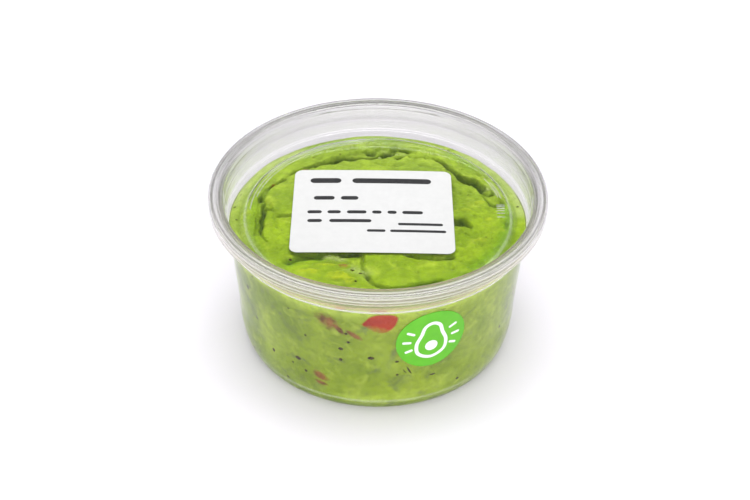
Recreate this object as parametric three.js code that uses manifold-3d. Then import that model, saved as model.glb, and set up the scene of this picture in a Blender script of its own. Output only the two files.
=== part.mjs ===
// Guacamole in a round clear deli tub with a snap-on recessed lid.
// Millimetres, +Z up, origin at the centre of the base, the front towards -Y.

import * as THREE from 'three';
import { mergeVertices } from 'three/addons/utils/BufferGeometryUtils.js';
import Module from 'manifold-3d';

const wasm = await Module();
wasm.setup();

// Overall sizes
const totalHeight = 61;
const lidRadius = 59.75;
const clearance = 0.35; // air between pieces that touch
const segments = 48; // steps round every turned piece

// Tub: outside sizes from the foot up to the flange
const tubWall = 0.6;
const pushUpRadius = 33; // raised centre of the base
const pushUpHeight = 1.2;
const pushUpSlope = 2.5; // width of the slope round the raised centre
const footRadius = 45;
const heelRadius = 50;
const heelHeight = 17.5;
const shoulderRadius = 52.95;
const shoulderHeight = 48;
const ledgeRadius = 55.1;
const ledgeHeight = 50.1;
const neckRadius = 56.3;
const neckBevel = 0.9;
const flangeDrop = 1.9; // turned-down edge of the flange

// Lid: seen from above, from the rim down to the recessed panel
const lidWall = 0.4;
const rimFlatOuter = 58.7;
const rimFlatInner = 56;
const recessTopRadius = 54.6;
const recessFootRadius = 53.7;
const sealTop = 57.6; // band that seals inside the tub's neck
const sealFoot = 55;
const sealBulge = 0.15;
const sealSlope = 0.4; // half height of the slopes into and out of the band
const panelHeight = 51;
const panelRadius = 46.8;
const panelStep = 0.6; // the outer band lies this much lower
const panelSlope = 0.9;
const cornerFillet = 1.3; // from the panel up into the recess wall
const innerFillet = 1.4; // from the recess wall over to the rim
const outerFillet = 1.05; // from the rim down to the skirt
const skirtHeight = 4.6;
const skirtBevel = 0.7; // turned-in edge of the skirt

// Flange of the tub, which the lid's skirt closes over
const flangeTop = totalHeight - lidWall - clearance;
const flangeRadius = lidRadius - lidWall - clearance;

// Guacamole: rim level at the wall and mounded level under the panel
const edgeLevel = 47.9;
const moundLevel = panelHeight - lidWall - clearance;
const moundRadius = 43;
const rimFadeWidth = 5; // the furrows fade out over this width at the wall
const topRings = 17;

// Furrows between the spooned folds: path, half width, depth
const furrows = [
  { path: [[-22, 34], [-5, 37], [10, 41], [24, 35]], width: 2.6, depth: 3.0 },
  { path: [[24, 35], [31.5, 24.5], [39, 15], [45, 8]], width: 2.6, depth: 4.0 },
  { path: [[27, -2], [34, -4.5]], width: 3.0, depth: 4.0 },
  { path: [[-42, 16], [-42, -10]], width: 2.2, depth: 3.0 },
  { path: [[-40, 4], [-31, 1.5]], width: 2.0, depth: 2.0 },
  { path: [[-32, -26], [-6, -22]], width: 2.2, depth: 2.4 },
  { path: [[11, -22], [25, -23.5]], width: 2.4, depth: 3.0 },
  { path: [[-3.5, -24], [-1.5, -35], [7.5, -39.5], [21, -36.5]], width: 2.0, depth: 2.2 },
  { path: [[-43, -15], [-36.5, -26]], width: 1.8, depth: 1.6 },
];

// Tomato chunk pressed against the front wall: half sizes and place
const tomatoAcross = 5.9;
const tomatoDeep = 3.4;
const tomatoTall = 4.1;
const tomatoAngle = THREE.MathUtils.degToRad(-89);
const tomatoHeight = 43.4;
const tomatoRadius = 50.5; // of its middle, so that the wall flattens its outer side
const tomatoSquareness = 0.75; // 1 is an ellipsoid, less is squarer

// Label on the panel, turned a little
const labelWidth = 58.3;
const labelDepth = 49;
const labelCorner = 3;
const labelThick = 0.2;
const labelX = -1.96;
const labelY = 0.81;
const labelTurn = THREE.MathUtils.degToRad(-0.4);

// Round sticker wrapped on the wall
const stickerRadius = 12.7;
const stickerThick = 0.2;
const stickerAngle = THREE.MathUtils.degToRad(-68.5);
const stickerHeight = 33.5;
const stickerRings = 4;
const stickerSteps = 24;

// Points of an elliptical arc, angles in degrees, from the +radius axis
function arc(centreR, centreZ, radiusR, radiusZ, from, to, steps) {
  return Array.from({ length: steps + 1 }, (_, i) => {
    const t = THREE.MathUtils.degToRad(from + (to - from) * i / steps);
    return new THREE.Vector2(centreR + radiusR * Math.cos(t), centreZ + radiusZ * Math.sin(t));
  });
}

function point(radius, height) {
  return new THREE.Vector2(radius, height);
}

// At a sharp turn, an offset corner is drawn out by at most 1 / sharpestLean
const sharpestLean = 0.5;

// Moves an open profile sideways by a distance, to its left seen along the profile
function offset(profile, distance) {
  return profile.map((p, i) => {
    const before = profile[Math.max(i - 1, 0)];
    const after = profile[Math.min(i + 1, profile.length - 1)];
    const inward = p.clone().sub(before).normalize();
    const outward = after.clone().sub(p).normalize();
    if (i === 0) {
      inward.copy(outward);
    }
    if (i === profile.length - 1) {
      outward.copy(inward);
    }
    const normal = point(-inward.y - outward.y, inward.x + outward.x).normalize();
    const lean = normal.y * outward.x - normal.x * outward.y;
    const stretch = 1 / Math.max(sharpestLean, lean);
    return p.clone().addScaledVector(normal, distance * stretch);
  });
}

// Turns a profile round Z; the profile runs counter-clockwise round the material
function turned(profile) {
  return new THREE.LatheGeometry(profile, segments).rotateX(Math.PI / 2);
}

// A shell of even wall from its outside profile, which starts on the axis
function shell(outside, wall) {
  const inside = offset(outside, wall);
  inside[0].x = 0;
  return turned([...outside, ...inside.reverse()]);
}

function tubOutside() {
  const flangeUnder = flangeTop - tubWall;
  return [
    point(0, pushUpHeight),
    point(pushUpRadius - pushUpSlope / 2, pushUpHeight),
    point(pushUpRadius + pushUpSlope / 2, 0),
    ...arc(footRadius, heelHeight, heelRadius - footRadius, heelHeight, -90, 0, 6),
    point(shoulderRadius, shoulderHeight),
    point(ledgeRadius, ledgeHeight),
    point(neckRadius, flangeUnder - neckBevel),
    point(neckRadius + neckBevel, flangeUnder),
    point(flangeRadius - tubWall, flangeUnder),
    point(flangeRadius - tubWall, flangeTop - flangeDrop),
  ];
}

function makeTub() {
  return shell(tubOutside(), tubWall);
}

// Radius of the plain recess wall of the lid at a height
function recessRadius(height) {
  const rise = (height - panelHeight) / (totalHeight - innerFillet - panelHeight);
  return recessFootRadius + (recessTopRadius - recessFootRadius) * rise;
}

// Top side of the lid from the axis out, down to the end of the skirt
function lidTop() {
  const bandHeight = panelHeight - panelStep;
  const cornerRadius = recessFootRadius - cornerFillet;
  const innerReach = rimFlatInner - recessTopRadius;
  const sealLow = [sealFoot - sealSlope, sealFoot + sealSlope];
  const sealHigh = [sealTop - sealSlope, sealTop + sealSlope];
  return [
    point(0, panelHeight),
    point(panelRadius, panelHeight),
    point(panelRadius + panelSlope, bandHeight),
    ...arc(cornerRadius, bandHeight + cornerFillet, cornerFillet, cornerFillet, -90, 0, 2),
    point(recessRadius(sealLow[0]), sealLow[0]),
    point(recessRadius(sealLow[1]) + sealBulge, sealLow[1]),
    point(recessRadius(sealHigh[0]) + sealBulge, sealHigh[0]),
    point(recessRadius(sealHigh[1]), sealHigh[1]),
    ...arc(rimFlatInner, totalHeight - innerFillet, innerReach, innerFillet, 180, 90, 2),
    point(rimFlatOuter, totalHeight),
    ...arc(lidRadius - outerFillet, totalHeight - outerFillet, outerFillet, outerFillet, 60, 0, 2),
    point(lidRadius, totalHeight - skirtHeight + skirtBevel),
    point(lidRadius - skirtBevel, totalHeight - skirtHeight),
  ];
}

function makeLid() {
  const top = lidTop();
  const under = offset(top, -lidWall);
  under[0].x = 0;
  return turned([...under, ...top.reverse()]);
}

// Inside of the tub, less the clearance, up to a level
function cavityProfile(level) {
  const wallLine = offset(tubOutside(), tubWall + clearance);
  const above = wallLine.findIndex((p) => p.y > level);
  const below = wallLine[above - 1];
  const reach = (level - below.y) / (wallLine[above].y - below.y);
  wallLine[0].x = 0;
  return [...wallLine.slice(0, above), below.clone().lerp(wallLine[above], reach)];
}

// Distance from a place to a path of straight stretches
function distanceToPath(x, y, path) {
  const place = new THREE.Vector3(x, y, 0);
  const nearest = new THREE.Vector3();
  let best = Infinity;
  for (let i = 1; i < path.length; i += 1) {
    const start = new THREE.Vector3(...path[i - 1], 0);
    const end = new THREE.Vector3(...path[i], 0);
    new THREE.Line3(start, end).closestPointToPoint(place, true, nearest);
    best = Math.min(best, nearest.distanceTo(place));
  }
  return best;
}

// Height of the uneven top: a flat mound, a falling rim and the furrows
function topHeight(x, y) {
  const radius = Math.hypot(x, y);
  const edge = cavityProfile(edgeLevel).at(-1).x;
  const fall = THREE.MathUtils.smoothstep(radius, moundRadius, edge);
  const furrowFade = 1 - THREE.MathUtils.smoothstep(radius, edge - rimFadeWidth, edge);
  let height = moundLevel - (moundLevel - edgeLevel) * fall;
  for (const { path, width, depth } of furrows) {
    const away = distanceToPath(x, y, path) / width;
    height -= furrowFade * depth * Math.exp(-away * away);
  }
  return height;
}

function makeGuacamoleBody() {
  const profile = cavityProfile(edgeLevel);
  const edge = profile.at(-1).x;
  for (let ring = 1; ring <= topRings; ring += 1) {
    profile.push(point(edge * (1 - ring / topRings), edgeLevel));
  }
  const geometry = turned(profile);
  const places = geometry.attributes.position;
  const topStart = profile.length - topRings;
  for (let i = 0; i < places.count; i += 1) {
    if (i % profile.length >= topStart) {
      places.setZ(i, topHeight(places.getX(i), places.getY(i)));
    }
  }
  return geometry;
}

// Solid for joining and cutting, from a closed geometry
function toSolid(geometry) {
  const bare = geometry.clone();
  bare.deleteAttribute('normal');
  bare.deleteAttribute('uv');
  const merged = mergeVertices(bare, 1e-4);
  const triVerts = new Uint32Array(merged.index.array);
  const vertProperties = new Float32Array(merged.attributes.position.array);
  return new wasm.Manifold(new wasm.Mesh({ numProp: 3, vertProperties, triVerts }));
}

function toGeometry(solid) {
  const mesh = solid.getMesh();
  const geometry = new THREE.BufferGeometry();
  geometry.setAttribute('position', new THREE.BufferAttribute(mesh.vertProperties, 3));
  geometry.setIndex(new THREE.BufferAttribute(mesh.triVerts, 1));
  geometry.computeVertexNormals();
  return geometry;
}

// Rounded chunk, its sides squared off a little, grown by a margin
function makeChunk(margin) {
  const geometry = new THREE.SphereGeometry(1, 14, 9);
  const places = geometry.attributes.position;
  const swell = (v) => Math.sign(v) * Math.abs(v) ** tomatoSquareness;
  for (let i = 0; i < places.count; i += 1) {
    const x = swell(places.getX(i)) * (tomatoDeep + margin);
    const y = swell(places.getY(i)) * (tomatoAcross + margin);
    const z = swell(places.getZ(i)) * (tomatoTall + margin);
    places.setXYZ(i, x, y, z);
  }
  geometry.translate(tomatoRadius, 0, tomatoHeight);
  return geometry.rotateZ(tomatoAngle);
}

function makeGuacamole() {
  return toGeometry(toSolid(makeGuacamoleBody()).subtract(toSolid(makeChunk(clearance))));
}

function makeTomato() {
  const cavity = turned([...cavityProfile(edgeLevel), point(0, edgeLevel)]);
  return toGeometry(toSolid(makeChunk(0)).intersect(toSolid(cavity)));
}

// Paper rectangle with rounded corners
function makeLabel() {
  const x = labelWidth / 2;
  const y = labelDepth / 2;
  const r = labelCorner;
  const outline = new THREE.Shape();
  outline.moveTo(-x + r, -y);
  outline.lineTo(x - r, -y);
  outline.absarc(x - r, -y + r, r, -Math.PI / 2, 0);
  outline.absarc(x - r, y - r, r, 0, Math.PI / 2);
  outline.absarc(-x + r, y - r, r, Math.PI / 2, Math.PI);
  outline.absarc(-x + r, -y + r, r, Math.PI, Math.PI * 1.5);
  const settings = { depth: labelThick, bevelEnabled: false, curveSegments: 5 };
  return new THREE.ExtrudeGeometry(outline, settings);
}

// Disc bent round the tub's cone: x runs round the wall, y up its slope, z outwards
function makeSticker() {
  const rings = Array.from({ length: stickerRings + 1 }, (_, i) => stickerRadius * i / stickerRings);
  const under = rings.map((radius) => point(radius, 0));
  const face = rings.map((radius) => point(radius, stickerThick));
  const geometry = new THREE.LatheGeometry([...under, ...face.reverse()], stickerSteps);
  geometry.rotateX(Math.PI / 2);
  const places = geometry.attributes.position;
  const slope = Math.atan2(shoulderRadius - heelRadius, shoulderHeight - heelHeight);
  const radiusHere = heelRadius + (stickerHeight - heelHeight) * Math.tan(slope);
  for (let i = 0; i < places.count; i += 1) {
    const angle = stickerAngle + places.getX(i) / radiusHere;
    const out = clearance + places.getZ(i);
    const radius = radiusHere + places.getY(i) * Math.sin(slope) + out * Math.cos(slope);
    const height = stickerHeight + places.getY(i) * Math.cos(slope) - out * Math.sin(slope);
    places.setXYZ(i, radius * Math.cos(angle), radius * Math.sin(angle), height);
  }
  geometry.computeVertexNormals();
  return geometry;
}

function clearPlastic() {
  const look = { color: 0xeef1f1, roughness: 0.06, metalness: 0, transparent: true, opacity: 0.3 };
  return new THREE.MeshStandardMaterial(look);
}

function plainMaterial(color, roughness) {
  return new THREE.MeshStandardMaterial({ color, roughness, metalness: 0 });
}

function addPiece(group, name, geometry, material) {
  const mesh = new THREE.Mesh(geometry, material);
  mesh.name = name;
  group.add(mesh);
  return mesh;
}

function buildModel() {
  const model = new THREE.Group();
  addPiece(model, 'tub', makeTub(), clearPlastic());
  addPiece(model, 'lid', makeLid(), clearPlastic());
  addPiece(model, 'guacamole', makeGuacamole(), plainMaterial(0xa5c837, 0.45));
  addPiece(model, 'tomato_piece', makeTomato(), plainMaterial(0xc8502f, 0.35));
  const label = addPiece(model, 'top_label', makeLabel(), plainMaterial(0xf5f5f7, 0.55));
  label.position.set(labelX, labelY, panelHeight + clearance);
  label.rotation.z = labelTurn;
  addPiece(model, 'side_sticker', makeSticker(), plainMaterial(0x76dc37, 0.4));
  return model;
}

export default buildModel();
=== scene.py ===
import bpy
import numpy as np
from mathutils import Matrix, Vector


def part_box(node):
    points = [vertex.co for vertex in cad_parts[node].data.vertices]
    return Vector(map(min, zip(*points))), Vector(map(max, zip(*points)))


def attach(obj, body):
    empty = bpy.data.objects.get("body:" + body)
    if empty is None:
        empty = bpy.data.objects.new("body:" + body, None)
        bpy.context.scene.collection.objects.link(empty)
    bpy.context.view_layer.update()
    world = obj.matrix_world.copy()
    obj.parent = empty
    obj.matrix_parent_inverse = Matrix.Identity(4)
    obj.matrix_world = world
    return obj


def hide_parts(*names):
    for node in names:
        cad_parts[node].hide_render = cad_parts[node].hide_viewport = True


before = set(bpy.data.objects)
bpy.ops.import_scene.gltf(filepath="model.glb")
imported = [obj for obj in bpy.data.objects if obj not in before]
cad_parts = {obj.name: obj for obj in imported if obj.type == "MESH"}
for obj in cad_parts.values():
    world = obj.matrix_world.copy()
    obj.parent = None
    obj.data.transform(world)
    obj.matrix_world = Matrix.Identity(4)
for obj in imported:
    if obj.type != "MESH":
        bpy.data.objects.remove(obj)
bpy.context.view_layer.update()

mm = 0.001
wholeTurn = 2 * np.pi

# Sizes that every piece shares, in millimetres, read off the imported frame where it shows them
lidBox = [np.array(corner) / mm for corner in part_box("lid")]
tubBox = [np.array(corner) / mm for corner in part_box("tub")]
sizes = {
    "totalHeight": lidBox[1][2],
    "lidRadius": lidBox[1][0],
    "flangeTop": tubBox[1][2],
    "flangeRadius": tubBox[1][0],
    "around": 288,  # steps round the tub and the lid
    "wallRadius": 51.0,  # where lengths along the wall are measured
    "sharpFrom": 35,  # degrees between two faces from which their edge stays sharp
}
print("frame loaded, lid", round(2 * sizes["lidRadius"], 2), "mm across")


# Smoothstep: 0 below low, 1 above high, 3t^2 - 2t^3 between
def smoothStep(value, low, high):
    t = np.clip((value - low) / (high - low), 0, 1)
    return t * t * (3 - 2 * t)


# Smooth noise from -1 to 1: seeded values on a square grid, blended by the weight 6a^5 - 15a^4 + 10a^3
def smoothNoise(x, y, cell, seed, count=64):
    table = np.random.default_rng(seed).uniform(-1, 1, (count, count))
    u, v = x / cell, y / cell
    i, j = np.floor(u).astype(int), np.floor(v).astype(int)
    a, b = u - i, v - j
    a = a * a * a * (a * (a * 6 - 15) + 10)
    b = b * b * b * (b * (b * 6 - 15) + 10)
    i, iNext, j, jNext = i % count, (i + 1) % count, j % count, (j + 1) % count
    low = table[i, j] * (1 - a) + table[iNext, j] * a
    high = table[i, jNext] * (1 - a) + table[iNext, jNext] * a
    return low * (1 - b) + high * b


# Octaves of smooth noise, each on a grid turned by one radian, with half the cell and half the height
def layeredNoise(x, y, cell, octaves, seed):
    total = np.zeros(x.shape)
    for octave in range(octaves):
        turn = octave + 0.5
        u = x * np.cos(turn) - y * np.sin(turn)
        v = x * np.sin(turn) + y * np.cos(turn)
        total += smoothNoise(u, v, cell / 2**octave, seed + octave) / 2**octave
    return total


# Curve through a few points: Catmull-Rom cubics, each cut into equal steps of its parameter
def smoothPath(points, closed=False, steps=5):
    points = np.array(points, float)
    if closed:
        padded = np.concatenate([points[-1:], points, points[:2]])
    else:
        padded = np.concatenate([2 * points[:1] - points[1:2], points, 2 * points[-1:] - points[-2:-1]])
    p0, p1, p2, p3 = (padded[k : len(padded) - 3 + k, None] for k in range(4))
    t = (np.arange(steps) / steps)[None, :, None]
    curve = p1 + t * (p2 - p0) / 2
    curve = curve + t**2 * (2 * p0 - 5 * p1 + 4 * p2 - p3) / 2
    curve = curve + t**3 * (3 * p1 - p0 - 3 * p2 + p3) / 2
    curve = curve.reshape(-1, points.shape[1])
    return curve if closed else np.concatenate([curve, points[-1:]])


# Distance from points to a path of straight stretches, the least over its stretches
def pathDistance(x, y, path):
    best = np.full(x.shape, np.inf)
    for (x0, y0), (x1, y1) in zip(path[:-1], path[1:]):
        dx, dy = x1 - x0, y1 - y0
        share = np.clip(((x - x0) * dx + (y - y0) * dy) / (dx * dx + dy * dy), 0, 1)
        best = np.minimum(best, np.hypot(x - x0 - share * dx, y - y0 - share * dy))
    return best


# Distance to a closed outline, positive inside it: a point is inside when a ray from it crosses an odd count
def insideDistance(x, y, outline):
    closed = np.concatenate([outline, outline[:1]])
    inside = np.zeros(x.shape, bool)
    for (x0, y0), (x1, y1) in zip(closed[:-1], closed[1:]):
        if y0 != y1:
            reach = x0 + (y - y0) * (x1 - x0) / (y1 - y0)
            inside ^= ((y0 > y) != (y1 > y)) & (x < reach)
    return np.where(inside, 1, -1) * pathDistance(x, y, closed)


# Faces of a grid of points, rows by columns by 3, in millimetres, that closes round its columns.
# A row at one place is a pole: its points become one, and so do its values.
def wrappedPart(grid, values=None, loop=False):
    around = grid.shape[1]
    pole = np.ptp(grid, axis=1).max(axis=1) < 1e-9
    starts = np.concatenate([[0], np.cumsum(np.where(pole, 1, around))[:-1]])
    column = np.arange(around)
    index = starts[:, None] + np.where(pole[:, None], 0, column[None])
    kept = ~pole[:, None] | (column[None] == 0)
    points = grid[kept] * mm
    here, there = (index, np.roll(index, -1, 0)) if loop else (index[:-1], index[1:])
    polesHere, polesThere = (pole, np.roll(pole, -1)) if loop else (pole[:-1], pole[1:])
    corners = np.stack([here, np.roll(here, -1, 1), np.roll(there, -1, 1), there], -1)
    quads = corners[~polesHere & ~polesThere].reshape(-1, 4)
    fans = [corners[polesHere & ~polesThere][..., [0, 2, 3]], corners[polesThere & ~polesHere][..., :3]]
    fans = np.concatenate([fan.reshape(-1, 3) for fan in fans])
    halves = np.concatenate([quads[:, :3], quads[:, [0, 2, 3]], fans])
    a, b, c = (points[halves[:, k]] for k in range(3))
    if np.einsum("ij,ij->", a, np.cross(b, c)) < 0:  # six times the volume that the faces enclose
        quads, fans = quads[:, ::-1], fans[:, ::-1]
    keptValues = {key: value[kept] for key, value in (values or {}).items()}
    return {"points": points, "quads": quads, "fans": fans, "values": keptValues}


# One mesh from several parts, their named values as point attributes
def joinedMesh(name, parts, sharp):
    shifts = np.cumsum([0] + [len(part["points"]) for part in parts[:-1]])
    faces = [
        face
        for kind in ("quads", "fans")
        for part, shift in zip(parts, shifts)
        for face in (part[kind] + shift).tolist()
    ]
    mesh = bpy.data.meshes.new(name)
    mesh.from_pydata(np.concatenate([part["points"] for part in parts]), [], faces)
    for key in parts[0]["values"]:
        values = np.concatenate([part["values"][key] for part in parts]).astype(np.float32)
        mesh.attributes.new(key, "FLOAT", "POINT").data.foreach_set("value", values)
    mesh.shade_smooth()
    if sharp:
        mesh.set_sharp_from_angle(angle=np.radians(sizes["sharpFrom"]))
    return mesh


# Object for a mesh, a lamp or a camera, in the scene's own collection
def addObject(name, data):
    thing = bpy.data.objects.new(name, data)
    bpy.context.scene.collection.objects.link(thing)
    return thing


# Piece made from a mesh: it rides on the frame's one body and may stand for a CAD node
def addPiece(name, parts, material, node=None, sharp=False):
    mesh = joinedMesh(name, parts, sharp)
    piece = addObject(name, mesh)
    mesh.materials.append(material)
    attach(piece, "root")
    if node:
        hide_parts(node)
    return piece


# Line of corners, each rounded by an arc of its own radius between its tangent points
def roundedLine(corners, steps=6):
    points = [np.array(corners[0][:2], float)]
    for before, corner, after in zip(corners[:-2], corners[1:-1], corners[2:]):
        middle, radius = np.array(corner[:2], float), corner[2]
        toBefore = np.array(before[:2], float) - middle
        toAfter = np.array(after[:2], float) - middle
        toBefore /= np.linalg.norm(toBefore)
        toAfter /= np.linalg.norm(toAfter)
        half = np.arccos(np.clip(toBefore @ toAfter, -1, 1)) / 2
        if radius == 0 or half > np.pi / 2 - 0.01:
            points.append(middle)
            continue
        axis = (toBefore + toAfter) / np.linalg.norm(toBefore + toAfter)
        centre = middle + axis * radius / np.sin(half)
        first = (middle + toBefore * radius / np.tan(half) - centre) / radius
        last = (middle + toAfter * radius / np.tan(half) - centre) / radius
        sweep = np.pi - 2 * half
        share = np.linspace(0, 1, steps + 1)[:, None]
        blend = (np.sin((1 - share) * sweep) * first + np.sin(share * sweep) * last) / np.sin(sweep)
        points.extend(centre + radius * blend)
    points.append(np.array(corners[-1][:2], float))
    return np.array(points)


# The same line with its long stretches cut into steps no longer than a given length
def cutLine(line, longest):
    lengths = np.hypot(*np.diff(line, axis=0).T)
    pieces = [
        start + (end - start) * np.arange(count)[:, None] / count
        for start, end, count in zip(line[:-1], line[1:], np.ceil(lengths / longest).astype(int))
        if count
    ]
    return np.concatenate([*pieces, line[-1:]])


# Line moved to its left: each point goes along the mean normal of its two stretches, by the distance over
# the cosine of half their bend
def offsetLine(line, distance, leastLean=0.6):
    step = np.diff(line, axis=0)
    step /= np.hypot(*step.T)[:, None]
    before = np.concatenate([step[:1], step])
    after = np.concatenate([step, step[-1:]])
    normal = np.stack([-(before + after)[:, 1], (before + after)[:, 0]], 1)
    normal /= np.hypot(*normal.T)[:, None]
    lean = -normal[:, 0] * after[:, 1] + normal[:, 1] * after[:, 0]
    return line + normal * (distance / np.maximum(lean, leastLean))[:, None]


# Closed loop round a sheet: the middle line moved half the wall to each side, with a half-round end
def sheetProfile(middleLine, wall, endSteps=6):
    right, left = offsetLine(middleLine, -wall / 2), offsetLine(middleLine, wall / 2)
    right[0, 0] = left[0, 0] = 0
    end = middleLine[-1]
    first = right[-1] - end
    turn = np.linspace(0, np.pi, endSteps + 1)[1:-1]
    spun = np.stack([
        first[0] * np.cos(turn) - first[1] * np.sin(turn),
        first[0] * np.sin(turn) + first[1] * np.cos(turn),
    ], 1)
    return np.concatenate([right, end + spun, left[::-1]])


# Turned sheet: (r cos a, r sin a, z) for every profile point and angle
def turnedGrid(profile, around):
    angle = wholeTurn * np.arange(around) / around
    radius = profile[:, :1]
    height = np.broadcast_to(profile[:, 1:], (len(profile), around))
    return np.stack([radius * np.cos(angle), radius * np.sin(angle), height], -1)


# Adds one shader node; a value given as a socket is linked, anything else is set
def addNode(tree, kind, values=None, **settings):
    node = tree.nodes.new("ShaderNode" + kind)
    for name, value in settings.items():
        setattr(node, name, value)
    for name, value in (values or {}).items():
        if isinstance(value, bpy.types.NodeSocket):
            tree.links.new(value, node.inputs[name])
        else:
            node.inputs[name].default_value = value
    return node


# Noise in space, from 0 to 1 about a mean of a half
def addNoise(tree, place, scale, detail=3.0, distortion=0.0):
    values = {"Vector": place, "Scale": scale, "Detail": detail, "Distortion": distortion}
    return addNode(tree, "TexNoise", values).outputs["Fac"]


# Value from 0 to 1 carried in a straight line to a span
def toSpan(tree, value, span):
    ends = {"Value": value, "To Min": span[0], "To Max": span[1]}
    return addNode(tree, "MapRange", ends).outputs["Result"]


# Value that the mesh carries at its points
def readValue(tree, name):
    return addNode(tree, "Attribute", attribute_name=name).outputs["Fac"]


# Material with nothing in it yet, its tree, and the place that its patterns are read at
def newMaterial(name):
    material = bpy.data.materials.new(name)
    material.use_nodes = True
    tree = material.node_tree
    tree.nodes.clear()
    return material, tree, addNode(tree, "TexCoord").outputs["Object"]


# Colour ramp from (place, colour) pairs
def addRamp(tree, factor, stops):
    ramp = addNode(tree, "ValToRGB", {"Fac": factor})
    elements = ramp.color_ramp.elements
    while len(elements) < len(stops):
        elements.new(1)
    for element, (place, colour) in zip(elements, stops):
        element.position = place
        element.color = (*colour, 1)
    return ramp.outputs["Color"]


# Mix of two colours by a factor; either may be a socket or a plain colour
def mixColour(tree, factor, first, second):
    node = tree.nodes.new("ShaderNodeMix")
    node.data_type = "RGBA"
    for index, value in ((0, factor), (6, first), (7, second)):
        if isinstance(value, bpy.types.NodeSocket):
            tree.links.new(value, node.inputs[index])
        else:
            node.inputs[index].default_value = value if index == 0 else (*value, 1)
    return node.outputs[2]


# Noise between two limits, stretched to run from 0 to 1
def noiseMask(tree, place, scale, low, high, detail=3.0, distortion=0.0):
    noise = addNoise(tree, place, scale, detail, distortion)
    return addNode(tree, "MapRange", {"Value": noise, "From Min": low, "From Max": high}).outputs["Result"]


# Shader as the material's surface
def finishMaterial(tree, shader):
    output = addNode(tree, "OutputMaterial")
    tree.links.new(shader.outputs[0], output.inputs["Surface"])


# Solid finish: colour, roughness and relief may vary, the mirror's strength is one number
def finishSolid(tree, colour, rough, normal, specular):
    shader = addNode(tree, "BsdfPrincipled", {"Base Color": colour, "Roughness": rough, "Normal": normal})
    shader.inputs["Specular IOR Level"].default_value = specular
    finishMaterial(tree, shader)


# Camera, its place in metres and its angles in degrees
view = {
    "place": (-0.00085, -0.58300, 0.48239),
    "down": 37.528,  # degrees under the horizon
    "roll": 0.736,
    "lens": 98.14,
    "clipEnd": 20,
}
# Light, in metres and watts; each wall has its strength and the share of an axis where it starts and is full
light = {
    "softboxSize": 0.9,
    "softboxPlace": (0.0, 0.30, 1.15),
    "softboxAim": (0.0, 0.0, 0.03),
    "softboxPower": 8.7,
    "sky": 0.335,
    "backWall": (-0.235, 0.40, 0.80),
    "frontWall": (2.9, 0.44, 1.0),
    "sideWalls": (0.85, 0.30, 0.80),
    "bounces": 32,  # light crosses many clear walls on its way
}


# Camera axes: look down by one angle, then turn about the line of sight by the other
def makeCamera():
    down, roll = np.radians(view["down"]), np.radians(view["roll"])
    forward = np.array([0, np.cos(down), -np.sin(down)])
    level = np.array([1.0, 0, 0])
    upright = np.cross(level, forward)
    right = level * np.cos(roll) + upright * np.sin(roll)
    up = upright * np.cos(roll) - level * np.sin(roll)
    data = bpy.data.cameras.new("camera")
    data.lens = view["lens"]
    data.clip_end = view["clipEnd"]
    camera = addObject("camera", data)
    turn = Matrix(np.stack([right, up, -forward], 1).tolist()).to_4x4()
    camera.matrix_world = Matrix.Translation(view["place"]) @ turn
    bpy.context.scene.camera = camera


# Softbox above, and a sky of one grey, brighter or darker on some sides by a smoothstep along an axis
def makeLight():
    data = bpy.data.lights.new("softbox", "AREA")
    data.shape = "SQUARE"
    data.size = light["softboxSize"]
    data.energy = light["softboxPower"]
    lamp = addObject("softbox", data)
    lamp.location = light["softboxPlace"]
    aim = Vector(light["softboxAim"]) - Vector(light["softboxPlace"])
    lamp.rotation_euler = aim.to_track_quat("-Z", "Y").to_euler()
    world = bpy.data.worlds.new("studio")
    world.use_nodes = True
    tree = world.node_tree
    tree.nodes.clear()
    direction = addNode(tree, "SeparateXYZ", {"Vector": addNode(tree, "TexCoord").outputs["Generated"]})
    forward = addNode(tree, "Math", {0: direction.outputs["Y"], 1: -1.0}, operation="MULTIPLY")
    sideways = addNode(tree, "Math", {0: direction.outputs["X"]}, operation="ABSOLUTE")
    strength = light["sky"]
    lobes = (
        (forward.outputs[0], light["frontWall"]),
        (direction.outputs["Y"], light["backWall"]),
        (sideways.outputs[0], light["sideWalls"]),
    )
    for axis, (most, low, high) in lobes:
        span = {"Value": axis, "From Min": low, "From Max": high, "To Max": most}
        lobe = addNode(tree, "MapRange", span, interpolation_type="SMOOTHSTEP").outputs["Result"]
        strength = addNode(tree, "Math", {0: lobe, 1: strength}, operation="ADD").outputs[0]
    background = addNode(tree, "Background", {"Color": (1, 1, 1, 1), "Strength": strength})
    output = addNode(tree, "OutputWorld")
    tree.links.new(background.outputs[0], output.inputs["Surface"])
    bpy.context.scene.world = world
    bpy.context.scene.view_settings.view_transform = "Standard"
    paths = bpy.context.scene.cycles
    paths.max_bounces = paths.transmission_bounces = paths.transparent_max_bounces = light["bounces"]
    paths.glossy_bounces = light["bounces"] // 2


# Floor, in metres
ground = {
    "half": 3.0,
    "colours": [(0.3, (0.880, 0.853, 0.922)), (0.7, (0.900, 0.870, 0.942))],
    "noiseScale": 8.0,
    "rough": 0.8,
    "specular": 0.2,
}


# Flat square, its colour drifting a little by slow noise
def makeFloor():
    half = ground["half"]
    mesh = bpy.data.meshes.new("floor")
    corners = [(-half, -half, 0), (half, -half, 0), (half, half, 0), (-half, half, 0)]
    mesh.from_pydata(corners, [], [(0, 1, 2, 3)])
    material, tree, place = newMaterial("paperFloor")
    colour = addRamp(tree, addNoise(tree, place, ground["noiseScale"]), ground["colours"])
    shader = addNode(tree, "BsdfPrincipled", {"Base Color": colour, "Roughness": ground["rough"]})
    shader.inputs["Specular IOR Level"].default_value = ground["specular"]
    finishMaterial(tree, shader)
    mesh.materials.append(material)
    floor = addObject("floor", mesh)


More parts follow.
